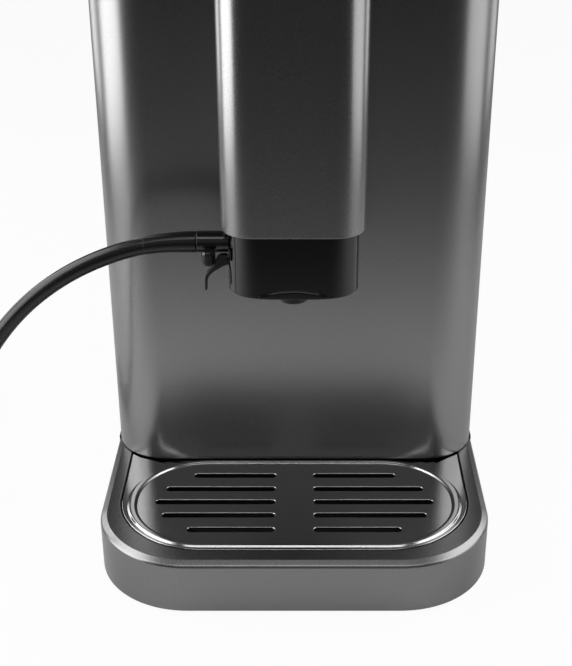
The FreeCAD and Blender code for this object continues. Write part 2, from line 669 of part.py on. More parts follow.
def lower_burr():
    """The turning burr: shaft, disc and cone in one, with four vanes that sweep the grounds out."""
    disc = GEARBOX_TOP + 7
    shaft = [(0, disc - 14), (SHAFT_R, disc - 14), (SHAFT_R, disc)]
    rim = [(33, disc), (33, disc + 3), (12, disc + 5)]
    cone = [(18, disc + 15), (10, disc + 39), (0, disc + 43)]
    burr = turned(shaft + rim + cone, GRINDER_X, GRINDER_F, 0)
    vanes = []
    for i in range(4):
        vane = block(GRINDER_X + 24, GRINDER_X + 34, GRINDER_F - 1, GRINDER_F + 1, disc + 2, disc + 9)
        vane.rotate(Vector(GRINDER_X, Y(GRINDER_F), 0), UP, 90 * i)
        vanes.append(vane)
    return fused([burr] + vanes)


def upper_burr():
    """The ring burr with the toothed sector that the knob's pinion turns it by."""
    low = 245.5
    top = 288.0
    ring = [(19, low), (34.6, low), (34.6, top), (20, top), (20, top - 12), (11.5, top - 18)]
    burr = turned(ring, GRINDER_X, GRINDER_F, 0)
    teeth = 19
    first = (SECTOR_TEETH - teeth + 1) // 2
    sector = gear(SECTOR_TEETH, ADJUST_MODULE, GRINDER_X, GRINDER_F, top - 4, top, 0.0, first, teeth, 30)
    return fused([burr, sector])


def grind_knob():
    """The grind setting's knob: a grip bar on a round cap, its shaft and the pinion under the cover."""
    turn = math.pi / PINION_TEETH
    pinion = gear(PINION_TEETH, ADJUST_MODULE, KNOB_X, KNOB_F, 283, 289, turn)
    shaft = post(KNOB_X, KNOB_F, WALL_TOP, COVER_TOP + 1, SHAFT_R)
    profile = [(0, 0), (KNOB_R, 0), (KNOB_R, 3), (KNOB_R - 1, 4.5), (0, 4.5)]
    cap = turned(profile, KNOB_X, KNOB_F, COVER_TOP + 0.4)
    foot = COVER_TOP + 3
    grip = slab(KNOB_X - 2.5, KNOB_X + 2.5, KNOB_F - 12.5, KNOB_F + 12.5, foot, foot + 9, 2, 2)
    return fused([pinion, shaft, cap, grip])


PARTS["top_cover"] = top_cover()
PARTS["bean_lid"] = barrel_lid(HOPPER, HOPPER_BARREL, GRINDER_X - 10)
PARTS["bean_hopper"] = bean_hopper()
PARTS["grinder_gearbox"] = grinder_gearbox()
PARTS["grinder_motor"] = grinder_motor()
PARTS["grinder_housing"] = grinder_housing()
PARTS["lower_burr"] = lower_burr()
PARTS["upper_burr"] = upper_burr()
PARTS["grind_knob"] = grind_knob()

# Water tank in its bay at the rear left, with its valve and lid
TANK_FOOT = 41.0
TANK_TOP = 330.0
VALVE_X = -50.0
VALVE_F = 262.0
PIPE_Z = DECK_TOP + 3.8
BARB_FRONT = VALVE_F - 28
CHEEK = 3.5


def tank_bay():
    """Two walls and a floor round the tank, with the seat that its valve stands in and the outlet barb."""
    x0, x1, f0, f1 = TANK
    left = x0 - 3.5
    right = x1 + 4.5
    rear = SIDE_REAR - 1.6
    top = SHELL_TOP - 2
    front = block(left, right, f0 - 4, f0 - 2, DECK_TOP, top)
    side = block(right - 2, right, f0 - 4, rear, DECK_TOP, top)
    floor = block(left, right, f0 - 4, rear, DECK_TOP, DECK_TOP + WALL)
    groove = bar_y(VALVE_X, f0 - 1, VALVE_F - 15, PIPE_Z, 2.9)
    pipe_hole = fused([groove, bar_y(VALVE_X - 0.6, f0 - 5, f0, PIPE_Z, 3.6)])
    cup = turned([(0, 0), (15, 0), (15, 6), (11.6, 6), (11.6, 3), (0, 3)], VALVE_X, VALVE_F, DECK_TOP)
    barb = bar_y(VALVE_X, BARB_FRONT, VALVE_F - 13, PIPE_Z, 2.4)
    return fused([fused([front, side, floor]).cut(pipe_hole), cup, barb])


def water_tank():
    """The tank: rounded walls, a collar with cheeks that carry the lid, and the valve's hole in its floor."""
    x0, x1, f0, f1 = TANK
    corner = 14.0
    brim = TANK_TOP + 1
    high = TANK_TOP + 5
    outer = slab(x0, x1, f0, f1, TANK_FOOT, TANK_TOP, corner, corner)
    inner_r = corner - WALL
    floor = TANK_FOOT + WALL
    inner = slab(x0 + WALL, x1 - WALL, f0 + WALL, f1 - WALL, floor, high, inner_r, inner_r)
    collar = slab(x0, x1, f0, f1, TANK_TOP - 4, high, 6, 6)
    collar = collar.cut(slab(x0 + 5, x1 - 5, f0 + WALL, f1 - 9, TANK_TOP - 5, high + 1, 6, 4))
    lid_pocket = block(x0 - 1, x1 + 1, f0 - 1, TANK_BARREL + BARREL_R + 0.5, brim, high + 1)
    cheeks = []
    for x in (x0, x1 - CHEEK):
        cheeks.append(block(x, x + CHEEK, f1 - 12, f1, TANK_TOP - 2, COVER_TOP - 0.4))
    bores = lid_hinge_bores((x0 + CHEEK, x1 - CHEEK), TANK_BARREL, 4)
    seat_hole = post(VALVE_X, VALVE_F, TANK_FOOT - 1, floor + 1, 7.5)
    shell = fused([outer.cut(inner), collar]).cut(lid_pocket)
    return fused([shell] + cheeks).cut(fused(bores + [seat_hole]))


def tank_valve():
    """The spring valve in the tank's floor: a flange outside, a neck through the hole and a cage inside."""
    flange = [(0, 0), (8, 0), (8, 1), (11, 1.2), (11, 3.4)]
    neck = [(7.5, 3.4), (7.5, 6.1)]
    cage = [(9.5, 6.1), (9.5, 8), (6, 13), (0, 13)]
    return turned(flange + neck + cage, VALVE_X, VALVE_F, TANK_FOOT - 3.4)


def tank_lid():
    """The tank's lid, between the collar's cheeks."""
    x0, x1, f0, f1 = TANK
    return barrel_lid((x0 + CHEEK, x1 - CHEEK, f0, f1), TANK_BARREL, (x0 + x1) / 2)


PARTS["tank_bay"] = tank_bay()
PARTS["water_tank"] = water_tank()
PARTS["tank_valve"] = tank_valve()
PARTS["tank_lid"] = tank_lid()

# Column, control head and the sliding spout inside the column
HEAD_REACH = 66.0
COLUMN_R = 12.0
GUIDE_HALF = 24.0
RAIL_BACK = -2.5
RAIL_LIP = -11.0
HEAD_NOSE = 3.0
HEAD_R = 26.0
BUTTON_X = 74.0
BUTTON_UP = 25.5
GLASS_HALF = 90.0
GLASS_REACH = (5.0, 46.0)
ALONG_SLOPE = Vector(0, 1, 1).normalize()
OFF_SLOPE = Vector(0, -1, 1).normalize()


def column_cover():
    """A steel channel with rounded front corners, open behind and below."""
    outer = slab(-HALF_COLUMN, HALF_COLUMN, -COLUMN_REACH, 0, COLUMN_BOTTOM, HEAD_BOTTOM, COLUMN_R, 0)
    half = HALF_COLUMN - SHEET
    front = SHEET - COLUMN_REACH
    return outer.cut(slab(-half, half, front, 1, COLUMN_BOTTOM - 1, HEAD_BOTTOM + 1, COLUMN_R - SHEET, 0))


def spout_rail():
    """A back plate on the front panel with two inward-facing channels that the spout's tongues run in."""
    low = COLUMN_BOTTOM + 2
    made = [block(-GUIDE_HALF, GUIDE_HALF, RAIL_BACK, 0, low, HEAD_BOTTOM)]
    for side in (-1, 1):
        x = side * (GUIDE_HALF - 1.5)
        made.append(block(x - 1.5, x + 1.5, RAIL_LIP, RAIL_BACK, low, HEAD_BOTTOM))
        x = side * (GUIDE_HALF - 4)
        made.append(block(x - 4, x + 4, RAIL_LIP - 2, RAIL_LIP, low, HEAD_BOTTOM))
    return fused(made)


def on_slope(x, distance, out):
    """A place on the head's slope: a distance up it, and out from it by some height."""
    return Vector(x, Y(-HEAD_REACH), HEAD_BOTTOM + HEAD_NOSE) + ALONG_SLOPE * distance + OFF_SLOPE * out


def sloped_plate(x0, x1, low, high, out, thick):
    """A plate on the head's slope, between two distances up it, with its face out from it by some height."""
    foot = on_slope(x0, low, out)
    head = on_slope(x0, high, out)
    inwards = OFF_SLOPE * -thick
    return polygon_prism([foot, head, head + inwards, foot + inwards], Vector(x1 - x0, 0, 0))


def slope_pin(x, distance, out, length, radius):
    """A round bar square to the head's slope, from its outer end inwards."""
    return Part.makeCylinder(radius, length, on_slope(x, distance, out), OFF_SLOPE * -1)


def head_profile(inset, back):
    """The head's side view: level below, a short upright nose, a slope at 45 degrees and a level top."""
    low = HEAD_BOTTOM + inset
    front = -HEAD_REACH + inset
    nose = HEAD_BOTTOM + HEAD_NOSE + (math.sqrt(2) - 1) * inset
    top = COVER_TOP - inset
    return [(back, low), (front, low), (front, nose), (front + top - nose, top), (back, top)]


def control_head():
    """A hood over the column whose cheeks reach back round the front panel's corners."""
    half = HALF_BODY
    rear = CORNER_R
    above = COVER_TOP + 5
    plan = slab(-half, half, -HEAD_REACH, rear, HEAD_BOTTOM - 5, above, HEAD_R, 0)
    cheeks = block(-half, half, -1, rear, HEAD_BOTTOM, SHELL_TOP)
    outer = fused([side_profile(head_profile(0, 0), half), cheeks]).common(plan)
    inner_half = half - WALL
    inner_front = WALL - HEAD_REACH
    inner_plan = slab(-inner_half, inner_half, inner_front, rear + 1, HEAD_BOTTOM, above, HEAD_R - WALL, 0)
    behind = block(-half, half, 0, rear + 1, HEAD_BOTTOM + WALL, above)
    inner = fused([side_profile(head_profile(WALL, 1), half), behind]).common(inner_plan)
    body = slab(-half, half, 0, rear + 30, HEAD_BOTTOM - 1, above, CORNER_R, 0)
    shell = outer.cut(inner).cut(body)
    hole_half = HALF_COLUMN - 2
    column_hole = slab(-hole_half, hole_half, 4 - COLUMN_REACH, 1, HEAD_BOTTOM - 5, HEAD_BOTTOM + 5, 9, 0)
    low, high = GLASS_REACH
    glass_seat = sloped_plate(-GLASS_HALF, GLASS_HALF, low, high, 1, 2.2)
    window = sloped_plate(4 - GLASS_HALF, GLASS_HALF - 4, low + 4, high - 4, 1, 8)
    return shell.cut(fused([column_hole, glass_seat, window]))


def touch_glass():
    """The glass let into the slope, with the power button's hole."""
    low, high = GLASS_REACH
    gap = 0.2
    glass = sloped_plate(gap - GLASS_HALF, GLASS_HALF - gap, low + gap, high - gap, 0, 1.2)
    return glass.cut(slope_pin(BUTTON_X, BUTTON_UP, 1, 6, 8.3))


def power_button():
    """A round key in the glass, on a stem."""
    cap = slope_pin(BUTTON_X, BUTTON_UP, 0.8, 3.9, 7.9)
    stem = slope_pin(BUTTON_X, BUTTON_UP, -3, 2, 3)
    return fused([cap, stem])


def circuit_boards():
    """The touch and display board under the glass, and the main board with its tall parts at the rear."""
    panel = sloped_plate(-84, 84, 10, 41, -7.5, 1.6)
    display = sloped_plate(-36, 36, 11, 40, -2.2, 5.3)
    chips = [sloped_plate(x - 5, x + 5, 20, 30, -5.6, 1.9) for x in (-66, -50)]
    front_board = fused([panel, display] + chips)
    face = 312.0
    board = block(10, 92, face, face + 1.6, 120, 300)
    transformer = block(16, 44, face - 20, face, 250, 286)
    heat_sink = block(54, 86, face - 12, face, 262, 290)
    filter_coil = block(58, 84, face - 16, face, 130, 160)
    cans = [bar_y(x, face - 22, face, 230, 7) for x in (24, 44)]
    relays = [block(x, x + 14, face - 12, face, 180, 206) for x in (16, 36, 56)]
    return group([front_board, fused([board, transformer, heat_sink, filter_coil] + cans + relays)])


PARTS["column_cover"] = column_cover()
PARTS["spout_rail"] = spout_rail()
PARTS["control_head"] = control_head()
PARTS["touch_glass"] = touch_glass()
PARTS["power_button"] = power_button()
PARTS["circuit_boards"] = circuit_boards()

# Spout: a two-part housing that slides in the column, with its nozzle, milk frother, lever and air valve
SPOUT_HALF = 30.8
SPOUT_FRONT = -62.0
SPOUT_REAR = -16.0
SPOUT_SPLIT = -45.0
SPOUT_TOP = SPOUT_BOTTOM + 127.5
SPOUT_WALL = 2.0
SPOUT_R = 11.0
HALF_SEAM = 0.15
SCOOP_HALF = 19.0
SCOOP_RISE = 4.5
FLOOR_Z = 162.5
NOZZLE_F = -45.0
NOZZLE_BOTTOM = 150.5
FROTHER_FOOT = 168.0
FROTHER_TOP = 206.0
BARREL_Z = 177.1
BARREL_F = -38.0
BARREL_END = -46.2
INLET_R = 5.0
LEVER_X = -28.7
LEVER_F = -42.9
LEVER_Z = 169.1
LEVER_HALF = 1.5
TRUNNION_R = 0.8
AIR_KNOB = (-40.2, -47.7, 172.2)
AIR_KNOB_R = 3.2
HEAD_HOSE_F = -40.0
PORT_X = 50.0
PORT_F = 3.0


def spout_shell():
    """The whole housing, open above and below, with the inlet's hole and the lever's slot and bearings."""
    half = SPOUT_HALF
    outer = slab(-half, half, SPOUT_FRONT, SPOUT_REAR, SPOUT_BOTTOM, SPOUT_TOP, SPOUT_R, 3)
    half -= SPOUT_WALL
    front = SPOUT_FRONT + SPOUT_WALL
    rear = SPOUT_REAR - SPOUT_WALL
    inner = slab(-half, half, front, rear, SPOUT_BOTTOM - 1, SPOUT_TOP + 1, SPOUT_R - SPOUT_WALL, 1)
    inlet = bar_x(BARREL_END, 0, BARREL_F, BARREL_Z, INLET_R + 0.3)
    slot = block(-40, -20, LEVER_F - 2.1, LEVER_F + 2.1, SPOUT_BOTTOM + 3, LEVER_Z + 2.6)
    bosses = block(1 - SPOUT_HALF, -26.4, LEVER_F - 5.4, LEVER_F + 5.4, LEVER_Z - 2.6, LEVER_Z + 2.6)
    trunnion = bar_y(LEVER_X, LEVER_F - 4, LEVER_F + 4, LEVER_Z, TRUNNION_R + 0.06)
    return fused([outer.cut(inner), bosses]).cut(fused([inlet, slot, trunnion]))


def finger_scoop():
    """A shallow arched recess that leans back at 45 degrees up into the front wall's lower edge."""
    radius = (SCOOP_HALF ** 2 + SCOOP_RISE ** 2) / (2 * SCOOP_RISE)
    start = Vector(0, Y(SPOUT_FRONT - 1), SPOUT_BOTTOM + SCOOP_RISE - radius + 1)
    disc = Part.Face(Part.Wire(Part.makeCircle(radius, start, Vector(0, 1, 0))))
    return disc.extrude(Vector(0, SCOOP_RISE + 2, -SCOOP_RISE - 2))


def spout_front_cover():
    """The housing's front half, with a sill inside its lower edge that the finger scoop is sunk in."""
    front = spout_shell().common(block(-50, 50, -80, SPOUT_SPLIT - HALF_SEAM, 0, SPOUT_TOP + 1))
    wall = SPOUT_FRONT + SPOUT_WALL
    sill = block(-24, 24, wall - 0.5, wall + 4.5, SPOUT_BOTTOM, FLOOR_Z - 0.2)
    notch = bar_x(SPOUT_HALF - 5, SPOUT_HALF + 5, SPOUT_SPLIT, 169.6, 1.6)
    return fused([front, sill]).cut(fused([finger_scoop(), notch]))


def spout_rear_cover():
    """The housing's rear half with the tongues that run in the rail."""
    rear = spout_shell().common(block(-50, 50, SPOUT_SPLIT + HALF_SEAM, 0, 0, SPOUT_TOP + 1))
    low = 200.0
    back = RAIL_BACK - 0.7
    neck = block(9 - GUIDE_HALF, GUIDE_HALF - 9, SPOUT_REAR - 1, back, low, SPOUT_TOP)
    tongues = block(3.6 - GUIDE_HALF, GUIDE_HALF - 3.6, RAIL_LIP + 0.4, back, low, SPOUT_TOP)
    return fused([rear, neck, tongues])


def coffee_nozzle():
    """The floor plate of the spout with its turned nozzle."""
    half = SPOUT_HALF - SPOUT_WALL
    front = SPOUT_FRONT + SPOUT_WALL
    rear = SPOUT_REAR - SPOUT_WALL
    plate = slab(-half, half, front, rear, FLOOR_Z, FLOOR_Z + 2, SPOUT_R - SPOUT_WALL, 1)
    bore = 1.9
    radius = 7.5
    tip = NOZZLE_BOTTOM
    top = FROTHER_FOOT
    profile = [(bore, tip), (radius - 0.9, tip), (radius, tip + 1), (radius, top), (bore, top)]
    hole = post(0, NOZZLE_F, FLOOR_Z - 1, FLOOR_Z + 3, radius - 0.5)
    return fused([plate.cut(hole), turned(profile, 0, NOZZLE_F, 0)])


def milk_frother():
    """The mixing chamber over the nozzle, with the milk inlet's barrel out of the housing's left side."""
    foot = FROTHER_FOOT
    top = FROTHER_TOP
    profile = [(0, foot), (9, foot), (12, foot + 4), (12, top - 3), (10.5, top), (0, top)]
    chamber = turned(profile, 0, NOZZLE_F + 4, 0)
    neck_r = HOSE_DIAMETER / 2
    barrel_root = BARREL_END + 18.2
    inlet = [(0, 0), (INLET_R, 0), (INLET_R, 13.2), (neck_r, 14.4), (neck_r, 18.2), (0, 18.2)]
    barrel = turned(inlet, barrel_root, BARREL_F, BARREL_Z, Vector(-1, 0, 0))
    root = bar_x(barrel_root, -6, BARREL_F, BARREL_Z, 3.6)
    return fused([chamber, barrel, root])


def milk_lever():
    """The release lever: a hub on two trunnions, a humped root and a thin blade that hangs beside it."""
    front = LEVER_F - LEVER_HALF
    rear = LEVER_F + LEVER_HALF
    hub = bar_y(LEVER_X, front, rear, LEVER_Z, 1.9)
    trunnions = bar_y(LEVER_X, LEVER_F - 3.8, LEVER_F + 3.8, LEVER_Z, TRUNNION_R)
    neck = block(-31.8, LEVER_X, front, rear, LEVER_Z - 1.2, LEVER_Z + 1.2)
    over = [(-31.3, 172.5), (-33.1, 172.8), (-35.0, 172.4), (-36.7, 170.8), (-38.6, 166.6)]
    over += [(-40.6, 164.4), (-42.0, 162.1), (-42.5, 159.6)]
    under = [(-41.1, 159.6), (-40.4, 161.7), (-38.7, 163.7), (-35.7, 165.8), (-32.6, 167.5), (-31.3, 167.9)]
    tip = [(-42.6, 154.8), (-41.4, 154.8)]
    edges = []
    ends = []
    for line in (over, under):
        curve = Part.BSplineCurve()
        curve.interpolate([Vector(x, Y(front), z) for x, z in line])
        edges.append(curve.toShape())
        ends += [Vector(line[0][0], Y(front), line[0][1]), Vector(line[-1][0], Y(front), line[-1][1])]
    corners = [ends[1]] + [Vector(x, Y(front), z) for x, z in tip] + [ends[2]]
    for start, end in list(zip(corners, corners[1:])) + [(ends[3], ends[0])]:
        edges.append(Part.makeLine(start, end))
    blade = Part.Face(Part.Wire(Part.__sortEdges__(edges))).extrude(Vector(0, rear - front, 0))
    return fused([blade, neck, hub, trunnions])


def air_valve():
    """The round air regulator in front of the lever's root, on a stem from the milk inlet's barrel."""
    x, f, z = AIR_KNOB
    thick = 5.4
    face_r = AIR_KNOB_R - 1
    profile = [(0, 0), (face_r, 0), (AIR_KNOB_R, 1), (AIR_KNOB_R, thick - 1), (face_r, thick), (0, thick)]
    knob = turned(profile, x, f - thick / 2, z, Vector(0, 1, 0))
    stem = bar_y(x + 0.6, f, BARREL_F - 3, z + 1.6, 1.6)
    barrel = bar_x(BARREL_END, LEVER_X, BARREL_F, BARREL_Z, INLET_R)
    return fused([knob, stem]).cut(barrel)


PARTS["spout_front_cover"] = spout_front_cover()
PARTS["spout_rear_cover"] = spout_rear_cover()
PARTS["coffee_nozzle"] = coffee_nozzle()
PARTS["milk_frother"] = milk_frother()
PARTS["milk_lever"] = milk_lever()
PARTS["air_valve"] = air_valve()

# Milk hose: from the frother's barrel out to the left, down to the counter and along it to its fitting
HOSE_ROUTE = [
    (BARREL_END, -38, 177.1),
    (-64, -38, 177.1),
    (-88, -38.2, 171.0),
    (-112, -38.8, 159.5),
    (-134, -38.5, 142.0),
    (-152.5, -37, 118.5),
    (-167, -33, 91.0),
    (-177.5, -25, 62.0),
    (-185, -10, 34.0),
    (-191, 14, 13.5),
    (-196, 45, 4.3),
    (-200, 77, 4.6),
    (-203, 105, 5.0),
]
HOSE_R = HOSE_DIAMETER / 2
CUFF_LENGTH = 19.0
FITTING_LENGTH = 26.0


def milk_hose():
    """The hose as a round bar, with its length, bend radii and volume printed."""
    solid, radii, length = tube(HOSE_ROUTE, HOSE_R)
    section = math.pi * HOSE_R ** 2
    print("milk hose: length", round(length, 1), "radii", [round(r, 1) for r in radii])
    print("milk hose: volume", round(solid.Volume, 1), "section times length", round(section * length, 1))
    return solid


def hose_cuff():
    """A tapered rubber sleeve over the hose's first stretch."""
    start = Vector(BARREL_END - 0.2, Y(BARREL_F), BARREL_Z + 0.1)
    sleeve = Part.makeCone(INLET_R + 0.3, HOSE_R + 0.5, CUFF_LENGTH, start, Vector(-1, 0, -0.03))
    return sleeve.cut(PARTS["milk_hose"])


def hose_fitting():
    """The suction fitting on the hose's far end: a ribbed collar and a thin straight pipe."""
    end = Vector(*HOSE_ROUTE[-1])
    before = Vector(*HOSE_ROUTE[-2])
    collar = [(0, 0), (5, 0), (5, 3), (4.4, 3.6), (4.4, 5), (5, 5.6), (5, 9)]
    pipe = [(3.4, 12), (3.2, FITTING_LENGTH), (0, FITTING_LENGTH)]
    return turned(collar + pipe, end.x, end.y, end.z, end - before)


def spout_hoses():
    """The coffee and steam hoses from the body through the head down to the spout."""
    made = []
    for x, middle in ((-PORT_X, -5.5), (PORT_X, 5.5)):
        places = [(x, PORT_F, HEAD_HOSE_Z), (x, HEAD_HOSE_F, HEAD_HOSE_Z), (middle, HEAD_HOSE_F, HEAD_HOSE_Z)]
        made.append(tube(places + [(middle, HEAD_HOSE_F, FROTHER_TOP)], 2.6, largest=14)[0])
    return group(made)


PARTS["milk_hose"] = milk_hose()
PARTS["hose_cuff"] = hose_cuff()
PARTS["hose_fitting"] = hose_fitting()
PARTS["spout_hoses"] = spout_hoses()

# Brew group behind the service door: fixed chamber, and a piston that a geared motor screws down into it
BREW_X = 42.0
BREW_F = 100.0
SCREW_F = 138.0
MOTOR_F = SCREW_F + 40.5
POST_X = (8.0, 76.0)
BREW_BASE_Z = 50.0
BREW_TOP_Z = 184.0
CHAMBER_TOP = 126.0
PISTON_FACE = 148.0
BEAM_Z = 168.0
DRIVE_MODULE = 1.5
DRIVE_TEETH = 40
MOTOR_TEETH = 14
GEAR_FOOT = BREW_TOP_Z + 6
GEAR_TOP = GEAR_FOOT + 6
CHAMBER_R = 20.0
GROOVE_R = 17.5
POST_R = 4.0
SCREW_R = 5.0
JOURNAL_R = 4.0
BORE_GAP = 0.05


def brew_base():
    """The group's foot plate on four legs, with the screw's lower bearing and the chamber's drain."""
    top = BREW_BASE_Z + 5
    plate = slab(0, 84, 76, 152, BREW_BASE_Z, top, 5, 5)
    legs = []
    for x in (0, 78):
        for f in (84, 142):
            legs.append(block(x, x + 6, f, f + 8, DECK_TOP, BREW_BASE_Z))
    bearing = post(BREW_X, SCREW_F, top, top + 4, 2 * JOURNAL_R)
    screw_hole = post(BREW_X, SCREW_F, BREW_BASE_Z + 2, top + 5, JOURNAL_R + BORE_GAP)
    drain = post(BREW_X, BREW_F, BREW_BASE_Z - 1, top + 1, 14)
    return fused([plate, bearing] + legs).cut(fused([screw_hole, drain]))


def brew_chamber():
    """The fixed cup that the piston presses the coffee in, with its filter plate and water nipple."""
    foot = BREW_BASE_Z + 5
    wall_r = CHAMBER_R + 4
    inside = [(CHAMBER_R, foot + 12), (CHAMBER_R, CHAMBER_TOP)]
    outside = [(wall_r, CHAMBER_TOP), (wall_r, foot + 8), (wall_r + 5, foot + 6), (wall_r + 5, foot)]
    drain = [(15, foot), (15, foot + 12)]
    body = turned(inside + outside + drain, BREW_X, BREW_F, 0)
    filter_plate = post(BREW_X, BREW_F, foot + 8, foot + 12, 16)
    nipple = bar_y(BREW_X, BREW_F - 34, BREW_F - 14, foot + 10, 3)
    return fused([body, filter_plate, nipple])


def guide_posts():
    """The two steel posts that join the foot plate and the top plate."""
    return group([post(x, BREW_F, BREW_BASE_Z + 5, BREW_TOP_Z, POST_R) for x in POST_X])


def brew_top_plate():
    """The top plate that carries the motor and the screw, tied to the centre wall."""
    top = BREW_TOP_Z + 4
    plate = slab(0, 84, 88, 196, BREW_TOP_Z, top, 5, 5)
    tie = block(WALL_X + 1.5, 2, 96, 130, BREW_TOP_Z, top)
    holes = [post(BREW_X, SCREW_F, BREW_TOP_Z - 1, top + 1, JOURNAL_R + BORE_GAP)]
    holes.append(post(BREW_X, MOTOR_F, BREW_TOP_Z - 1, top + 1, 3))
    return fused([plate, tie]).cut(group(holes))


def brew_motor():
    """A slim motor under a wider gearhead, hung below the top plate."""
    gearhead = 14.5
    length = 59.5
    can = [(0, 0), (15, 0), (16, 1), (16, length - gearhead)]
    head = [(19, length - gearhead), (19, length), (0, length)]
    return turned(can + head, BREW_X, MOTOR_F, BREW_TOP_Z - length)


def piston_carriage():
    """The crosshead on the guide posts with its nut on the screw and the piston with its seal groove."""
    top = BEAM_Z + 9
    beam = slab(-1, 85, BREW_F - 10, BREW_F + 10, BEAM_Z, top, 8, 8)
    arm = block(BREW_X - 11, BREW_X + 11, BREW_F, SCREW_F, BEAM_Z, top)
    nut = post(BREW_X, SCREW_F, BEAM_Z - 4, top + 4, 11)
    sleeves = [post(x, BREW_F, BEAM_Z - 5, top + 4, POST_R + 3.5) for x in POST_X]
    face = PISTON_FACE
    rim = CHAMBER_R - 0.5
    groove = [(rim, face + 2), (GROOVE_R, face + 2), (GROOVE_R, face + 4), (rim, face + 4)]
    skirt = [(rim, face + 7), (12, face + 9), (12, BEAM_Z + 2), (0, BEAM_Z + 2)]
    piston = turned([(0, face), (rim, face)] + groove + skirt, BREW_X, BREW_F, 0)
    bores = [post(x, BREW_F, BEAM_Z - 6, top + 5, POST_R + BORE_GAP) for x in POST_X]
    bores.append(post(BREW_X, SCREW_F, BEAM_Z - 5, top + 5, SCREW_R + BORE_GAP))
    return fused([beam, arm, nut, piston] + sleeves).cut(group(bores))


def piston_seal():
    """The ring in the piston's groove, crowned to wipe the chamber's wall."""
    low = PISTON_FACE + 2
    side = CHAMBER_R - 0.3
    ring = [(GROOVE_R, low), (side, low), (CHAMBER_R - 0.05, low + 1), (side, low + 2), (GROOVE_R, low + 2)]
    return turned(ring, BREW_X, BREW_F, 0)


def drive_screw():
    """The lead screw with its moulded drive gear on top."""
    wheel = gear(DRIVE_TEETH, DRIVE_MODULE, BREW_X, SCREW_F, GEAR_FOOT, GEAR_TOP)
    recess = post(BREW_X, SCREW_F, GEAR_FOOT + 3, GEAR_TOP + 1, 24)
    recess = recess.cut(post(BREW_X, SCREW_F, GEAR_FOOT, GEAR_TOP + 2, 8))
    low = BREW_BASE_Z + 3
    lower = [(0, low), (JOURNAL_R, low), (JOURNAL_R, low + 7), (SCREW_R, low + 8)]
    upper = [(SCREW_R, BREW_TOP_Z - 2), (JOURNAL_R, BREW_TOP_Z - 1), (JOURNAL_R, GEAR_TOP), (0, GEAR_TOP)]
    return fused([wheel.cut(recess), turned(lower + upper, BREW_X, SCREW_F, 0)])


def motor_pinion():
    """The motor's pinion, meshed with the screw's gear."""
    turn = math.pi / MOTOR_TEETH - math.pi / 2
    wheel = gear(MOTOR_TEETH, DRIVE_MODULE, BREW_X, MOTOR_F, GEAR_FOOT, GEAR_TOP, turn)
    shaft = post(BREW_X, MOTOR_F, BREW_TOP_Z + 0.3, GEAR_TOP, 2.5)
    return fused([wheel, shaft])


def coffee_chute():
    """A square duct from the grinder's outlet down to the mouth of the brew chamber."""
    half = 11.0
    bore = half - 2
    foot = 140.0
    outlet_foot = GEARBOX_TOP + 5.5
    outer = block(BREW_X - half, BREW_X + half, 58, 74, foot, 246)
    inner = block(BREW_X - bore, BREW_X + bore, 60, 72, foot - 10, 244)
    inlet = block(BREW_X - bore, BREW_X + bore, 66, 80, outlet_foot, outlet_foot + 13.5)
    mouth = block(BREW_X - bore, BREW_X + bore, 66, 80, foot - 9, foot + 6)
    slide = [(58, foot), (74, foot - 12), (74, foot - 9.5), (60, foot + 1)]
    lip = polygon_prism([Vector(BREW_X - half, Y(f), z) for f, z in slide], Vector(2 * half, 0, 0))
    return fused([outer.cut(fused([inner, inlet, mouth])), lip])


PARTS["brew_base"] = brew_base()
PARTS["brew_chamber"] = brew_chamber()
PARTS["guide_posts"] = guide_posts()
PARTS["brew_top_plate"] = brew_top_plate()
PARTS["brew_motor"] = brew_motor()
PARTS["piston_carriage"] = piston_carriage()
PARTS["piston_seal"] = piston_seal()
PARTS["drive_screw"] = drive_screw()
PARTS["motor_pinion"] = motor_pinion()
PARTS["coffee_chute"] = coffee_chute()

# Water works on the left side: pump, flow meter, heater, steam valve and their pipes
METER_F = 186.0
METER_Z = 44.0
HEATER = (-90.0, -34.0, 44.0, 132.0)
HEATER_Z = 141.0
VALVE_PORT_Z = 171.0
STEAM_F = 82.0
PIPE_R = 2.2


def pump():
    """A vibration pump: a square coil frame with side windows round a barrel with a port at each end."""
    half = 21.0
    coil = block(PUMP_X - half, PUMP_X + half, 70, 116, PUMP_Z - half, PUMP_Z + half)
    windows = [block(x - 3, x + 3, 76, 110, PUMP_Z - 15, PUMP_Z + 15) for x in (PUMP_X - 17, PUMP_X + 17)]
    barrel = bar_y(PUMP_X, 46, 140, PUMP_Z, PUMP_BARREL_R)
    ports = [bar_y(PUMP_X, 36, 46, PUMP_Z, 4), bar_y(PUMP_X, 140, 152, PUMP_Z, 4)]
    return fused([coil.cut(group(windows)), barrel] + ports)


def flow_meter():
    """A round turbine meter on the deck with a port in front and one behind."""
    profile = [(0, 0), (13, 0), (14, 1), (14, 13), (12, 16), (0, 16)]
    ports = bar_y(PUMP_X, METER_F - 15, METER_F + 15, METER_Z, 3)
    return fused([turned(profile, PUMP_X, METER_F, DECK_TOP), ports])


def thermoblock():
    """The heater's casting with its fins, two ports in front, one behind and the lug to the centre wall."""
    x0, x1, f0, f1 = HEATER
    core = block(x0, x1, f0, f1, HEATER_Z - 19, HEATER_Z + 19)
    fins = [block(x0 - 2, x1 + 2, f, f + 3, HEATER_Z - 23, HEATER_Z + 23) for f in range(50, 130, 14)]
    ports = [bar_y(x, f0 - 8, f0, HEATER_Z, 3.5) for x in (x0 + 14, x1 - 16)]
    ports.append(bar_y(PUMP_X, f1, f1 + 10, HEATER_Z, 3.5))
    lug = block(x1, WALL_X - 1.5, 80, 96, HEATER_Z - 3, HEATER_Z + 3)
    return fused([core, lug] + fins + ports)


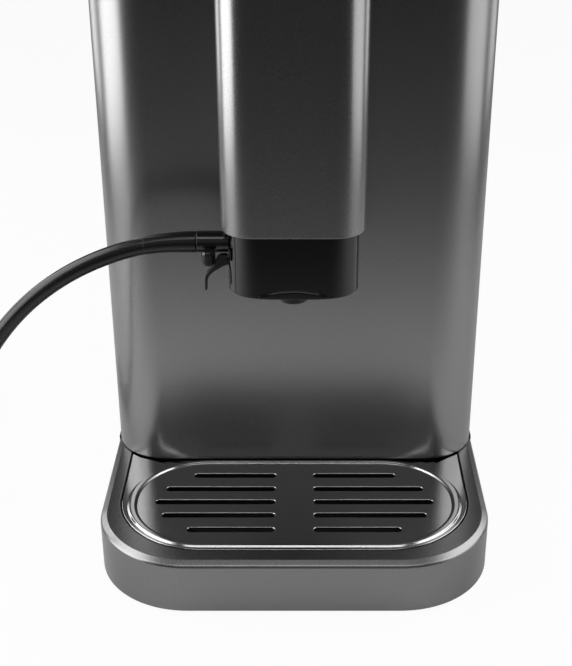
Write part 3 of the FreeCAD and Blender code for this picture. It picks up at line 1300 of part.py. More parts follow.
def steam_valve():
    """A solenoid valve: a square body with its port in front, under a round coil and its cap."""
    low = HEATER_Z + 23
    body = block(PUMP_X - 12, PUMP_X + 12, STEAM_F - 12, STEAM_F + 12, low, low + 14)
    coil = post(PUMP_X, STEAM_F, low + 14, low + 48, 13)
    cap = post(PUMP_X, STEAM_F, low + 48, low + 52, 5)
    return fused([body, coil, cap, bar_y(PUMP_X, STEAM_F - 24, STEAM_F - 12, VALVE_PORT_Z, 3)])


def water_pipes():
    """The five pipes: tank to meter, meter to pump, pump to heater, heater to chamber and valve to head."""
    x0, x1, f0, f1 = HEATER
    left = x0 + 14
    right = x1 - 16
    nipple_z = BREW_BASE_Z + 15
    to_meter = [(VALVE_X, BARB_FRONT, PIPE_Z), (VALVE_X, 210, PIPE_Z)]
    to_meter += [(PUMP_X, METER_F + 23, METER_Z), (PUMP_X, METER_F + 15, METER_Z)]
    to_pump = [(PUMP_X, METER_F - 15, METER_Z), (PUMP_X, METER_F - 26, METER_Z)]
    to_pump += [(PUMP_X, METER_F - 26, PUMP_Z), (PUMP_X, METER_F - 34, PUMP_Z)]
    to_heater = [(PUMP_X, 36, PUMP_Z), (PUMP_X, 22, PUMP_Z), (left, 22, HEATER_Z), (left, f0 - 8, HEATER_Z)]
    to_chamber = [(right, f0 - 8, HEATER_Z), (right, 20, HEATER_Z), (-24, 8, nipple_z + 5)]
    to_chamber += [(BREW_X, 8, nipple_z), (BREW_X, BREW_F - 34, nipple_z)]
    to_head = [(PUMP_X, STEAM_F - 24, VALVE_PORT_Z), (PUMP_X, 26, VALVE_PORT_Z), (-PORT_X, 14, 230)]
    to_head += [(-PORT_X, 14, HEAD_HOSE_Z), (-PORT_X, PORT_F + 0.2, HEAD_HOSE_Z)]
    routes = [to_meter, to_pump, to_heater, to_chamber, to_head]
    return group([tube(route, PIPE_R, largest=14)[0] for route in routes])


PARTS["pump"] = pump()
PARTS["flow_meter"] = flow_meter()
PARTS["thermoblock"] = thermoblock()
PARTS["steam_valve"] = steam_valve()
PARTS["water_pipes"] = water_pipes()

# Mains side at the rear: inlet with its three blades, and the rocker switch
SOCKET_FRONT = 306.0
SOCKET_FACE = BODY_DEPTH - 0.4
ROCKER_F = BODY_DEPTH - 5
WELL_X = 9.4
WELL_Z = 6.3


def power_inlet():
    """One moulding with the mains socket's recess and blades, and the well that the rocker turns in."""
    x = INLET_X
    deep = BODY_DEPTH - 14
    high = SWITCH_Z + 7.3
    socket = block(x - 13.8, x + 13.8, SOCKET_FRONT, SOCKET_FACE, INLET_Z - 9.8, INLET_Z + 9.8)
    frame = block(x - 10.8, x + 10.8, deep, SOCKET_FACE, SWITCH_Z - 7.3, high)
    tie = block(x - 9, x + 9, deep, BODY_DEPTH - 4, INLET_Z, SWITCH_Z)
    mouth = block(x - 12, x + 12, SOCKET_FRONT + 6, BODY_DEPTH + 1, INLET_Z - 8, INLET_Z + 8)
    well = block(x - WELL_X, x + WELL_X, deep + 3, BODY_DEPTH + 1, SWITCH_Z - WELL_Z, SWITCH_Z + WELL_Z)
    bores = bar_x(x - 10.6, x + 10.6, ROCKER_F, SWITCH_Z, 1.25)
    blades = []
    for side, up in ((-7, -2), (7, -2), (0, 3)):
        z = INLET_Z + up
        blades.append(block(x + side - 1, x + side + 1, SOCKET_FRONT + 3, SOCKET_FRONT + 17, z - 2, z + 2))
    return fused([fused([socket, frame, tie]).cut(fused([mouth, well, bores]))] + blades)


def power_switch():
    """The rocker in the rear panel, on a pivot across its middle."""
    profile = [(-5.2, -1.4), (5.2, -1.4), (5.2, 2.6), (0, 1.2), (-5.2, 4.2)]
    half = WELL_X - 0.4
    flat = [Vector(INLET_X - half, Y(ROCKER_F) + out, SWITCH_Z + z) for z, out in profile]
    rocker = polygon_prism(flat, Vector(2 * half, 0, 0))
    pin = bar_x(INLET_X - 10.2, INLET_X + 10.2, ROCKER_F, SWITCH_Z, 1.2)
    return fused([rocker, pin])


PARTS["power_inlet"] = power_inlet()
PARTS["power_switch"] = power_switch()

os.makedirs("parts", exist_ok=True)
for name, shape in PARTS.items():
    shape.exportStep("parts/" + name + ".step")
print(len(PARTS), "sub-parts")
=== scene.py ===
import bpy
import math
import numpy as np
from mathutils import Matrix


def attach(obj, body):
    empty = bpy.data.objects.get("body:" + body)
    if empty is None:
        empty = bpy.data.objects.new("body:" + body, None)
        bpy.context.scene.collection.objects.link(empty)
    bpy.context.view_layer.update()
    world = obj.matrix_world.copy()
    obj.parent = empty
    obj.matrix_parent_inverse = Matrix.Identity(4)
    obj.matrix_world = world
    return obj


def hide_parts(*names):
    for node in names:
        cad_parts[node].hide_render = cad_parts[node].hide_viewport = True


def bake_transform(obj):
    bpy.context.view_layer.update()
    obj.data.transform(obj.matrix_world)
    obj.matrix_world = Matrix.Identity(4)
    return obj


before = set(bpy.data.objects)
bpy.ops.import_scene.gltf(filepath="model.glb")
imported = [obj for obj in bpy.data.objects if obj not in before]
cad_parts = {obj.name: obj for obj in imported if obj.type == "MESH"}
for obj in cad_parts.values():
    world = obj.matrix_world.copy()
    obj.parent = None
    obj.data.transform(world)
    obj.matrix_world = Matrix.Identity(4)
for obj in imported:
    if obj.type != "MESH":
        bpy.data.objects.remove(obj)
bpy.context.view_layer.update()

# Foot of the machine. A black moulded plinth closes the machine below, and four soft rubber feet
# are pressed into it. Both are bare mouldings with a fine spark-eroded grain.


class Wire:
    """A value on its way through a node tree. Sums and products of wires add Math nodes."""

    def __init__(self, tree, socket):
        self.tree = tree
        self.socket = socket

    def joined(self, operation, first, second):
        """One Math node on two values."""
        return self.tree.node("ShaderNodeMath", {"operation": operation}, {0: first, 1: second})

    def __add__(self, other):
        return self.joined("ADD", self, other)

    def __radd__(self, other):
        return self.joined("ADD", other, self)

    def __sub__(self, other):
        return self.joined("SUBTRACT", self, other)

    def __mul__(self, other):
        return self.joined("MULTIPLY", self, other)


class NodeTree:
    """A node tree in the making, of a material or of the world."""

    def __init__(self, made):
        self.nodes = made.nodes
        self.links = made.links

    def node(self, kind, settings, values, output=0):
        """Adds a node: its settings first, then what its sockets get. Gives one of its outputs."""
        made = self.nodes.new(kind)
        for name, value in settings.items():
            setattr(made, name, value)
        for name, value in values.items():
            self.feed(made.inputs[name], value)
        return Wire(self, made.outputs[output])

    def feed(self, socket, value):
        """Links a wire to a socket, or sets the socket to a plain value."""
        if isinstance(value, Wire):
            self.links.new(value.socket, socket)
        else:
            socket.default_value = value

    def shown(self, output, value):
        """Links a wire to the surface of the tree's output node."""
        self.feed(self.nodes[output].inputs["Surface"], value)


class Finish(NodeTree):
    """A material in the making."""

    def __init__(self, name):
        self.material = bpy.data.materials.new(name)
        self.material.use_nodes = True
        super().__init__(self.material.node_tree)
        self.shader = self.nodes["Principled BSDF"]

    def surface(self, values):
        """Feeds the shader's sockets, and gives the material."""
        for name, value in values.items():
            self.feed(self.shader.inputs[name], value)
        return self.material

    def noise(self, stretch, detail=2.0):
        """Noise from 0 to 1 on Object coordinates, with so many grains a metre along X, Y and Z."""
        place = self.node("ShaderNodeTexCoord", {}, {}, "Object")
        place = self.node("ShaderNodeMapping", {}, {"Vector": place, "Scale": stretch})
        return self.node("ShaderNodeTexNoise", {}, {"Vector": place, "Scale": 1.0, "Detail": detail})

    def blend(self, share, first, second):
        """A colour between two, by a share from 0 to 1."""
        return self.node("ShaderNodeMix", {"data_type": "RGBA"}, {0: share, 6: first, 7: second}, 2)

    def bumped(self, height, depth, edge=0.0):
        """A normal that follows a height map of some depth in metres, over edges eased by a radius."""
        values = {"Height": height, "Strength": 1.0, "Distance": depth}
        if edge:
            values["Normal"] = self.node("ShaderNodeBevel", {"samples": 6}, {"Radius": edge})
        return self.node("ShaderNodeBump", {}, values)


def shade(tone):
    """The linear colour of a grey, or of three values, that reads as 0 to 255 on a screen."""
    parts = np.atleast_1d(np.asarray(tone, float)) / 255
    linear = np.where(parts < 0.04045, parts / 12.92, ((parts + 0.055) / 1.055) ** 2.4)
    return tuple(np.broadcast_to(linear, 3)) + (1.0,)


def moulded(name, tone, roughness, grain=0.00002, edge=0.0005):
    """Moulded plastic: a fine even grain, slightly uneven gloss and eased edges."""
    finish = Finish(name)
    fine = finish.noise((2600, 2600, 2600))
    cloud = finish.noise((22, 22, 22), 3.0)
    lighter = tuple(np.minimum(np.array(shade(tone)) * 1.25 + 0.002, 1.0))
    return finish.surface({
        "Base Color": finish.blend(cloud, shade(tone), lighter),
        "Roughness": roughness + (cloud - 0.5) * 0.12 + (fine - 0.5) * 0.06,
        "Normal": finish.bumped(fine, grain, edge),
    })


def dress(material, *nodes):
    """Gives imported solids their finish."""
    for name in nodes:
        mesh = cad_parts[name].data
        mesh.materials.clear()
        mesh.materials.append(material)


plinth_black = moulded("plinth_black", 34, 0.52)
dress(plinth_black, "base_plate")
dress(moulded("foot_rubber", 38, 0.75), "rubber_feet")

# Chassis inside. A grey deck, the upright wall between the wet and the dry side, and the bay that
# the tank stands in are glass-filled mouldings, screwed together behind the skin.

chassis_grey = moulded("chassis_grey", 92, 0.6)
bay_black = moulded("bay_black", 40, 0.5)
dress(chassis_grey, "chassis_deck", "centre_wall")
dress(bay_black, "tank_bay")

# Works of the machine: grinder, pump, heater, valves and the brew group behind the side door. The
# heater is a raw casting, shafts and motor cans are turned steel, and carriers are grey mouldings like
# the chassis. The pump, the flow meter and the brew chamber are moulded in white nylon.


def turned_steel(name, tone, roughness):
    """Machined steel: bright, with fine tool marks round it."""
    finish = Finish(name)
    marks = finish.noise((60, 60, 5200), 2.0)
    return finish.surface({
        "Base Color": finish.blend(marks, shade(tone - 14), shade(tone + 10)),
        "Metallic": 1.0,
        "Roughness": roughness + (marks - 0.5) * 0.18,
        "Normal": finish.bumped(marks, 0.000012, 0.0003),
    })


def cast_metal(name, tone):
    """Sand-blasted casting: dull, with a coarse skin."""
    finish = Finish(name)
    pits = finish.noise((900, 900, 900), 4.0)
    return finish.surface({
        "Base Color": finish.blend(pits, shade(tone - 22), shade(tone + 14)),
        "Metallic": 1.0,
        "Roughness": 0.46 + (pits - 0.5) * 0.2,
        "Normal": finish.bumped(pits, 0.00006, 0.0006),
    })


dress(chassis_grey, "brew_base", "grinder_gearbox", "grinder_housing", "piston_carriage")
dress(bay_black, "coffee_chute")
shaft_steel = turned_steel("shaft_steel", 176, 0.24)
dress(shaft_steel, "guide_posts", "brew_top_plate", "brew_motor", "grinder_motor", "steam_valve",
      "drive_screw", "motor_pinion")
dress(turned_steel("burr_steel", 150, 0.32), "upper_burr", "lower_burr")
dress(cast_metal("heater_casting", 182), "thermoblock")
dress(moulded("white_nylon", 205, 0.46), "pump", "flow_meter", "brew_chamber")
dress(moulded("pipe_white", 212, 0.32, 0.000004, 0.0), "water_pipes")
dress(moulded("clear_silicone", 186, 0.4, 0.000004, 0.0), "spout_hoses")
seal_rubber = moulded("seal_rubber", 36, 0.7)
dress(seal_rubber, "piston_seal")
dress(moulded("board_green", (24, 92, 52), 0.42), "circuit_boards")

# Skin of the machine: one sheet of satin steel bent round the front, a sheet on each side, and
# the flush service door in the right side. The front sheet looks dark where it mirrors the floor's
# painted shade out in front. The back is a black moulding with ten louvres, and six
# steel screws hold it to the side sheets.


def brushed(name, tone, stretch, roughness, spread=10, depth=0.000010):
    """Brushed sheet steel, a little uneven in tone and gloss. Its scratches are as fine as the stretch
    has grains a metre, and drawn out along the axis that has the fewest."""
    finish = Finish(name)
    lines = finish.noise(stretch, 3.0)
    hairs = finish.noise(tuple(2.6 * s for s in stretch), 1.0)
    cloud = finish.noise((9, 9, 9), 2.0)
    scratch = lines * 0.65 + hairs * 0.35
    return finish.surface({
        "Base Color": finish.blend(scratch, shade(tone - spread), shade(tone + spread)),
        "Metallic": 1.0,
        "Roughness": roughness + (scratch - 0.5) * 0.2 + (cloud - 0.5) * 0.05,
        "Normal": finish.bumped(scratch, depth, 0.0003),
    })


def step(places, way, wraps):
    """The step from the neighbour before to the neighbour after, along one way of a grid."""
    if wraps:
        return np.roll(places, -1, way) - np.roll(places, 1, way)
    return np.gradient(places, axis=way)


def unit(steps):
    """Steps brought to a length of one, each in its own direction."""
    return steps / np.maximum(np.linalg.norm(steps, axis=-1, keepdims=True), 1e-12)


PANEL_FACE = -117.5


class Skin:
    """Patches gathered into one piece. Places are (x, f, z) in millimetres, f back from the panel's face,
    which stands at PANEL_FACE along Y."""

    def __init__(self):
        self.places, self.normals, self.faces, self.lids = [], [], [], []
        self.count = 0

    def numbered(self, places, normals):
        """Keeps places with their normals, and gives their numbers in the places' own grid."""
        index = self.count + np.arange(places[..., 0].size).reshape(places.shape[:-1])
        self.places.append(places.reshape(-1, 3))
        self.normals.append(np.broadcast_to(normals, places.shape).reshape(-1, 3))
        self.count += index.size
        return index

    def patch(self, places, around=False, closed=False):
        """Faces between a grid's neighbours. A place's normal is the cross product of the step past it
        along the grid's first way and the step past it along the second."""
        index = self.numbered(places, unit(np.cross(step(places, 0, around), step(places, 1, closed))))
        index = np.vstack([index, index[:1]]) if around else index
        index = np.hstack([index, index[:, :1]]) if closed else index
        quads = np.stack([index[:-1, :-1], index[1:, :-1], index[1:, 1:], index[:-1, 1:]], -1)
        self.faces.append(quads.reshape(-1, 4))

    def lid(self, ring, normal):
        """One flat face inside a ring of places."""
        self.lids.append(self.numbered(ring, normal))

    def piece(self, name, material, slot, body, *nodes):
        """Welds what meets, drops what has no area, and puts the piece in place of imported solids.

        weld numbers each place among the distinct ones. A face with one corner on the next is a
        triangle, and a face with more such corners has no area.
        """
        places = (np.concatenate(self.places) + (0, PANEL_FACE, 0)) / 1000
        normals = np.concatenate(self.normals)
        faces = np.concatenate(self.faces)
        first, weld = np.unique(np.round(places, 6) + 0.0, axis=0, return_index=True, return_inverse=True)[1:]
        weld = weld.ravel()
        double = weld[faces] == weld[np.roll(faces, -1, axis=1)]
        quads = faces[double.sum(1) == 0]
        triples = faces[double.sum(1) == 1][~double[double.sum(1) == 1]].reshape(-1, 3)
        lids = [ring[weld[ring] != weld[np.roll(ring, 1)]] for ring in self.lids]
        corners = np.concatenate([quads.ravel(), triples.ravel()] + lids)
        mesh = bpy.data.meshes.new(name)
        mesh.from_pydata(places[first].tolist(), [], weld[quads].tolist() + weld[triples].tolist()
                         + [weld[ring].tolist() for ring in lids])
        mesh.polygons.foreach_set("use_smooth", np.ones(len(mesh.polygons), bool))
        mesh.normals_split_custom_set(normals[corners].tolist())
        mesh.materials.append(material)
        made = bpy.data.objects.new(name, mesh)
        bpy.context.scene.collection.objects.link(made)
        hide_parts(*nodes)
        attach(made, body)
        return made


def rounded_line(corners, radii, closed=True, steps=8, runs=1):
    """Points and outward normals along an anticlockwise line whose corners are arcs of given radii.

    An arc's points are its centre plus its radius times a normal that turns evenly from the run
    before to the run after. Each straight run is cut into equal parts.
    """
    corners = np.array(corners, float)
    points, outs = [], []
    share = np.linspace(0, 1, runs + 1)[1:-1, None]
    for i, radius in enumerate(radii):
        before = corners[i] - corners[i - 1]
        after = corners[(i + 1) % len(corners)] - corners[i]
        if not closed and i == 0:
            before = after
        if not closed and i == len(corners) - 1:
            after = before
        before, after = unit(before), unit(after)
        turn = math.atan2(before[0] * after[1] - before[1] * after[0], before @ after)
        bend = radius * (1 if turn > 0 else -1)
        angles = np.linspace(0, turn, steps + 1)[:, None] if abs(turn) > 1e-6 else np.zeros((1, 1))
        start = np.array([before[1], -before[0]])
        out = np.cos(angles) * start + np.sin(angles) * np.array([-start[1], start[0]])
        arc = corners[i] - before * abs(bend) * math.tan(abs(turn) / 2) + (out - start) * bend
        if points:
            points.append(points[-1][-1] * (1 - share) + arc[0] * share)
            outs.append(np.repeat(out[:1], len(share), axis=0))
        points.append(arc)
        outs.append(out)
    if closed:
        points.append(points[-1][-1] * (1 - share) + points[0][0] * share)
        outs.append(np.repeat(outs[0][:1], len(share), axis=0))
    return np.concatenate(points), np.concatenate(outs)


def carried(line, outs, edge):
    """Carries an edge of (out, up) points along a plan line: place = line + normal * out, height = up."""
    plan = line[:, None, :] + outs[:, None, :] * edge[None, :, :1]
    return np.concatenate([plan, np.broadcast_to(edge[None, :, 1:], plan.shape[:2] + (1,))], axis=-1)


def capped(walls):
    """A skin of walls that run from a seam on the left round the front to a seam on the right."""
    skin = Skin()
    skin.patch(walls, closed=True)
    skin.lid(walls[0], (0, 1, 0))
    skin.lid(walls[-1, ::-1], (0, 1, 0))
    return skin


SHEET_THICKNESS = 1.2
SHEET_EASE = 0.45
SATIN_GRAIN = (4200, 4200, 3400)


def bent_sheet(half, front, rear, corner, low, high):
    """A sheet bent to a U in plan, with all its cut edges eased."""
    line, outs = rounded_line([(-half, rear), (-half, front), (half, front), (half, rear)],
                              [0, corner, corner, 0], closed=False, steps=24)
    edge = rounded_line([(0, low), (0, high), (-SHEET_THICKNESS, high), (-SHEET_THICKNESS, low)],
                        [SHEET_EASE] * 4, steps=4)[0]
    return capped(carried(line, outs, edge))


panel_steel = brushed("panel_steel", 150, SATIN_GRAIN, 0.29, 5, 0.0000016)
dress(panel_steel, "left_panel", "right_panel", "service_door")
bent_sheet(half=100, front=0, rear=35, corner=28, low=31.4, high=333).piece(
    "front_sheet", panel_steel, "brushed_panel_steel", "housing", "front_panel")
dress(moulded("back_black", 38, 0.5), "rear_panel")
dress(shaft_steel, "rear_screws")

# Column on the front: a deep channel of lighter satin steel, bent like the panel from one sheet. It
# stands on the panel's face and hides the black moulded rail that the spout slides on.

column_steel = brushed("column_steel", 154, SATIN_GRAIN, 0.27, 5, 0.0000016)
bent_sheet(half=33.6, front=-64, rear=0, corner=15, low=188.8, high=299).piece(
    "column_sheet", column_steel, "column_steel", "housing", "column_cover")
dress(moulded("rail_black", 34, 0.45), "spout_rail")

# Spout: two gloss black half shells that meet at a side seam and slide on the rail as one. The front
# shell has a low arched lip along its foot, and the duller coffee nozzle stands out below it.


def piano_black(name, tone, roughness):
    """High gloss black moulding: almost mirror smooth, with faint waviness."""
    finish = Finish(name)
    wave = finish.noise((60, 60, 60), 1.0)
    return finish.surface({
        "Base Color": shade(tone),
        "Roughness": roughness + (wave - 0.5) * 0.04,
        "IOR": 1.59,
        "Normal": finish.bumped(wave, 0.00002, 0.0006),
    })


gloss_black = piano_black("gloss_black", 1, 0.05)
dress(gloss_black, "spout_rear_cover")


def spout_walls():
    """The front shell's wall, carried round the front, with a shallow arched lip along its foot.

    rise is the lip's height, a circle's arc across the front, and swell is how far the lip stands out.
    A row's place is out + swell * forward along the normal, and its height is
    up + rise * lift + swell * tuck. The lip ends in a quarter circle under the face.
    """
    half, front, seam, corner, foot, top = 30.8, -62.0, -45.15, 15, 158.0, 286.0
    lip_half, lip_height, lip_depth = 18, 3.8, 1.1
    wall, ease, fade, inner_foot = 2, 0.6, 13, 4
    line, outs = rounded_line([(-half, seam), (-half, front), (half, front), (half, seam)],
                              [0, corner, corner, 0], closed=False, steps=16, runs=40)
    bulge = (lip_half ** 2 + lip_height ** 2) / (2 * lip_height)
    rise = np.sqrt(np.maximum(bulge ** 2 - line[:, :1] ** 2, 0)) - (bulge - lip_height)
    rise = np.where((line[:, 1:] < front + 1) & (rise > 0), rise, 0)
    swell = lip_depth * (1 - (1 - rise / lip_height) ** 2)
    share = np.linspace(0, 1, 7)
    still = np.zeros(7)
    across, along = np.sin(share * math.pi / 2), np.cos(share * math.pi / 2)
    rows = [
        np.stack([ease * across - ease, foot + ease - ease * along, still, still + 1, still]),
        np.stack([still, foot + ease + still, share, still + 1, -share]),
        np.stack([still, foot + ease + still, still + 1, along, across - 1]),
        np.stack([still, foot + ease + fade * share, 1 - share, still, still]),
        np.array([(0, top, 0, 0, 0)] * 2 + [(-wall, top, 0, 0, 0)] * 2).T,
        np.stack([still - wall, foot + inner_foot * (1 - share), still, still, still]),
    ]
    out, up, lift, forward, tuck = np.concatenate(rows, axis=1)
    walls = carried(line, outs, np.column_stack([out, up]))
    walls[..., :2] += outs[:, None, :] * (swell * forward)[..., None]
    walls[..., 2] += rise * lift + swell * tuck
    return walls


capped(spout_walls()).piece("spout_front", gloss_black, "gloss_black", "spout", "spout_front_cover")
dress(moulded("nozzle_black", 30, 0.35), "coffee_nozzle")

# Milk frother, release lever and air regulator: satin black mouldings. The frother's mixing chamber
# stands over the nozzle, and its inlet barrel comes out of the housing's left side. The fluted
# regulator hangs from the barrel on a short stem, and the lever turns below it.

satin_black = piano_black("satin_black", 20, 0.15)
dress(satin_black, "milk_lever")


def turned_form(skin, corners, radii, root, aim, side, flutes=0):
    """Turns a profile round an axis: place = root + aim * along + radius * (side cos a + up sin a).
    The profile's (radius, along) corners are eased, and flutes are shallow waves round its full width."""
    profile = rounded_line(corners, radii, closed=False, steps=5)[0]
    aim, side = np.array(aim, float), np.array(side, float)
    up = np.cross(aim, side)
    angle = np.linspace(0, 2 * math.pi, 49)[:-1, None, None]
    radius, along = profile[None, :, :1], profile[None, :, 1:]
    widest = profile[:, 0].max()
    wave = 0.05 * widest * (0.5 - 0.5 * np.cos(flutes * angle)) * (radius > 0.9 * widest)
    radius = radius - wave
    skin.patch(root + aim * along + radius * (side * np.cos(angle) + up * np.sin(angle)), around=True)


frother = Skin()
turned_form(frother, [(0, 168), (9, 168), (12, 172), (12, 203), (10.5, 206), (0, 206)],
            [0, 0.6, 1, 0.8, 0.6, 0], (0, -41, 0), (0, 0, 1), (1, 0, 0))
turned_form(frother,
            [(0, 0), (3.6, 0), (3.6, 19), (5.2, 19), (5.2, 38.05), (4.1, 38.05), (4.1, 41), (0, 41)],
            [0, 0.3, 0.3, 0.3, 0.25, 0.1, 0.3, 0], (-8, -38, 177.2), (-1, 0, 0), (0, 1, 0))
frother.piece("frother", satin_black, "gloss_black", "spout", "milk_frother")
regulator = Skin()
turned_form(regulator, [(0, 0), (2.6, 0), (3.4, 0.9), (3.4, 5.9), (2.7, 6.9), (0, 6.9)],
            [0, 0.3, 0.3, 0.3, 0.3, 0], (-40.2, -46.9, 169.2), (0, 0, 1), (1, 0, 0), flutes=12)
turned_form(regulator, [(0, 0), (1.6, 0), (1.6, 5.3), (0, 5.3)], [0, 0.2, 0.2, 0],
            (-39.9, -47.0, 173.6), (0, 1, 0), (0, 0, 1))
regulator.piece("regulator", satin_black, "gloss_black", "spout", "air_valve")

# Milk hose: a satin black food-grade hose pushed on the frother's barrel through a rubber cuff. It
# arches out to the left, drops to the counter and runs back along it to its gloss black fitting.

dress(gloss_black, "hose_fitting")

HOSE_DIAMETER = 0.0084
HOSE_ROUTE = np.array([
    (-0.0462, -0.1555, 0.1771),
    (-0.0640, -0.1555, 0.1771),
    (-0.0880, -0.1557, 0.1710),
    (-0.1120, -0.1563, 0.1595),
    (-0.1340, -0.1560, 0.1420),
    (-0.1525, -0.1545, 0.1185),
    (-0.1670, -0.1505, 0.0910),
    (-0.1775, -0.1425, 0.0620),
    (-0.1850, -0.1275, 0.0340),
    (-0.1910, -0.1035, 0.0135),
    (-0.1960, -0.0725, 0.0043),
    (-0.2000, -0.0405, 0.0046),
    (-0.2030, -0.0125, 0.0050),
])


def hose_curve(name, route, diameter):
    """A round hose on a quadratic NURBS line that has the route's points as its control points."""
    line = bpy.data.curves.new(name, "CURVE")
    line.dimensions = "3D"
    line.bevel_depth = diameter / 2
    line.bevel_resolution = 8
    line.use_fill_caps = True
    spline = line.splines.new("NURBS")
    spline.points.add(len(route) - 1)
    spline.points.foreach_set("co", np.column_stack([route, np.ones(len(route))]).ravel())
    spline.order_u = 3
    spline.use_endpoint_u = True
    spline.resolution_u = 16
    hose = bpy.data.objects.new(name, line)
    bpy.context.scene.collection.objects.link(hose)
    return hose


hose_finish = moulded("hose_satin", 17, 0.27, 0.000004, 0.0)
hose_line = hose_curve("milk_hose_line", HOSE_ROUTE, HOSE_DIAMETER)
hose_line.data.materials.append(hose_finish)
milk_hose = bpy.data.objects.new("milk_hose_tube", bpy.data.meshes.new_from_object(hose_line))
bpy.context.scene.collection.objects.link(milk_hose)
bpy.data.objects.remove(hose_line)
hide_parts("milk_hose")
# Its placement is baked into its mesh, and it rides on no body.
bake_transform(milk_hose)


def route_points(route):
    """The smooth line that the route's spline draws, as points."""
    plain = hose_curve("route", route, 0.0)
    plain.data.use_fill_caps = False
    drawn = bpy.data.meshes.new_from_object(plain)
    points = np.empty(3 * len(drawn.vertices))
    drawn.vertices.foreach_get("co", points)
    bpy.data.objects.remove(plain)
    return points.reshape(-1, 3)


def distances(points):
    """How far along a line each of its points lies."""
    return np.concatenate([[0], np.cumsum(np.linalg.norm(np.diff(points, axis=0), axis=1))])


def read_off(wanted, known, places):
    """The places for wanted values of a measure, between places whose values are known."""
    return np.column_stack([np.interp(wanted, known, column) for column in places.T])


QUARTER = np.radians(np.linspace(0, 90, 5))


def cuff_sleeve():
    """A sleeve carried along the hose. Its radius falls from thick to thin by a smooth step, and both
    its ends are rounded by quarter circles."""
    start, end = 0.1, 25.0
    bore, thick, thin = 3.6, 5.15, 4.35
    head_round, tail_round = 0.45, 0.15
    share = np.linspace(0, 1, 41)
    smooth = share ** 2 * (3 - 2 * share)
    body_length = end - start - head_round - tail_round
    head = np.column_stack([start + head_round * (1 - np.sin(QUARTER)),
                            thick - head_round * (1 - np.cos(QUARTER))])[::-1]
    body = np.column_stack([start + head_round + body_length * share, thick - (thick - thin) * smooth])
    tail = np.column_stack([end - tail_round * (1 - np.sin(QUARTER)),
                            thin - tail_round * (1 - np.cos(QUARTER))])
    profile = np.concatenate([[(start, bore)], head, body[1:-1], tail, [(end, bore), (start, bore)]])
    points = route_points(HOSE_ROUTE) * 1000 - (0, PANEL_FACE, 0)
    far = distances(points)
    middle = read_off(profile[:, 0], far, points)
    ahead = read_off(profile[:, 0] + 0.5, far, points) - middle
    side = unit(np.cross(ahead, (0, 1, 0)))
    up = unit(np.cross(ahead, side))
    angle = np.linspace(0, 2 * math.pi, 49)[:-1, None, None]
    skin = Skin()
    skin.patch(middle + profile[:, 1:] * (side * np.cos(angle) + up * np.sin(angle)), around=True)
    return skin


cuff = cuff_sleeve().piece("cuff_sleeve", hose_finish, "hose_rubber", "spout", "hose_cuff")
route_points(HOSE_ROUTE).tolist()

# Drip tray: a satin grey painted band with a bevelled rim. It is one moulding that runs round the front
# from seam to seam, fixed on the black basin, which has the grounds container at its rear. The steel
# grid lies in the band's mouth.


def satin_paint(name, tone):
    """Satin metallic paint: a fine even sparkle, slightly uneven in gloss."""
    finish = Finish(name)
    flake = finish.noise((3200, 3200, 3200), 2.0)
    cloud = finish.noise((14, 14, 14), 2.0)
    return finish.surface({
        "Base Color": finish.blend(flake, shade(tone - 12), shade(tone + 12)),
        "Metallic": 1.0,
        "Roughness": 0.28 + (flake - 0.5) * 0.1 + (cloud - 0.5) * 0.05,
        "Normal": finish.bumped(flake, 0.000014, 0.0005),
    })


TRAY_SEAM = 25.3


def tray_line(half, front, corner):
    """The tray's plan: two straight sides and two large front corners."""
    return rounded_line([(-half, TRAY_SEAM), (-half, front), (half, front), (half, TRAY_SEAM)],
                        [0, corner, corner, 0], closed=False, steps=32)


def tray_walls():
    """The band's section goes up its face, over a rounded edge and a bevel to the flat rim, down the
    mouth's wall and down the hidden inside. The outside, the mouth and the inside each have a line."""
    foot, shelf, shoulder, rim = 2, 28, 28.9, 31
    outside = rounded_line([(-0.6, foot), (0, foot), (0, shoulder), (-3.5, rim), (-5, rim)],
                           [0, 0.5, 2.2, 0.4, 0], closed=False, steps=8)[0]
    mouth = rounded_line([(1, rim), (0, rim), (0, shelf)], [0, 0.35, 0], closed=False, steps=5)[0]
    inside = np.array([(0, shelf), (0, shelf), (0, foot), (0, foot), (2.4, foot)], float)
    return np.concatenate([carried(*tray_line(half=101, front=-95, corner=48), outside),
                           carried(*tray_line(half=91.7, front=-84, corner=46.2), mouth),
                           carried(*tray_line(half=98, front=-92, corner=45), inside)], axis=1)


capped(tray_walls()).piece("tray_rim", satin_paint("tray_satin", 138), "tray_paint", "drip_tray", "tray_band")
dress(plinth_black, "tray_basin", "grounds_container")

# The grid is pressed from one sheet of polished steel: ten drain slots with eased lips lie inside a
# raised ring bead, and the edge is folded down all round, behind along the panel's round corners.

RING_HALF, RING_FRONT, RING_REAR, RING_CORNER = 82.6, -76.7, -4.6, 35.05
RING_MIDDLE = (RING_FRONT + RING_REAR) / 2
ROW_EDGES = (RING_FRONT, -59.9, -47.45, -35.25, -22.6, RING_REAR)
SLOT_ROWS = ((-66.3, 54.6), (-53.5, 68.6), (-41.4, 73.1), (-29.1, 68.6), (-16.1, 54.6))
SLOT_INNER_END, SLOT_RADIUS = 12.0, 2.0
GRID_TOP, GRID_UNDER, GRID_FOOT = 31.0, 30.0, 27.0
GRID_HALF, GRID_CORNER, GRID_CORNER_F = 91, 45.5, -37.8
GRID_EASE = 0.5


def between(start, end, count):
    """Even points from a start towards an end, without the end."""
    share = np.linspace(0, 1, count + 1)[:-1, None]
    return np.array(start) * (1 - share) + np.array(end) * share


def bow(x, f, radius, start, end, count):
    """Even points on an arc, from one angle towards another in degrees, without the end."""
    angle = np.radians(np.linspace(start, end, count + 1))[:-1]
    return np.column_stack([x + radius * np.cos(angle), f + radius * np.sin(angle)])


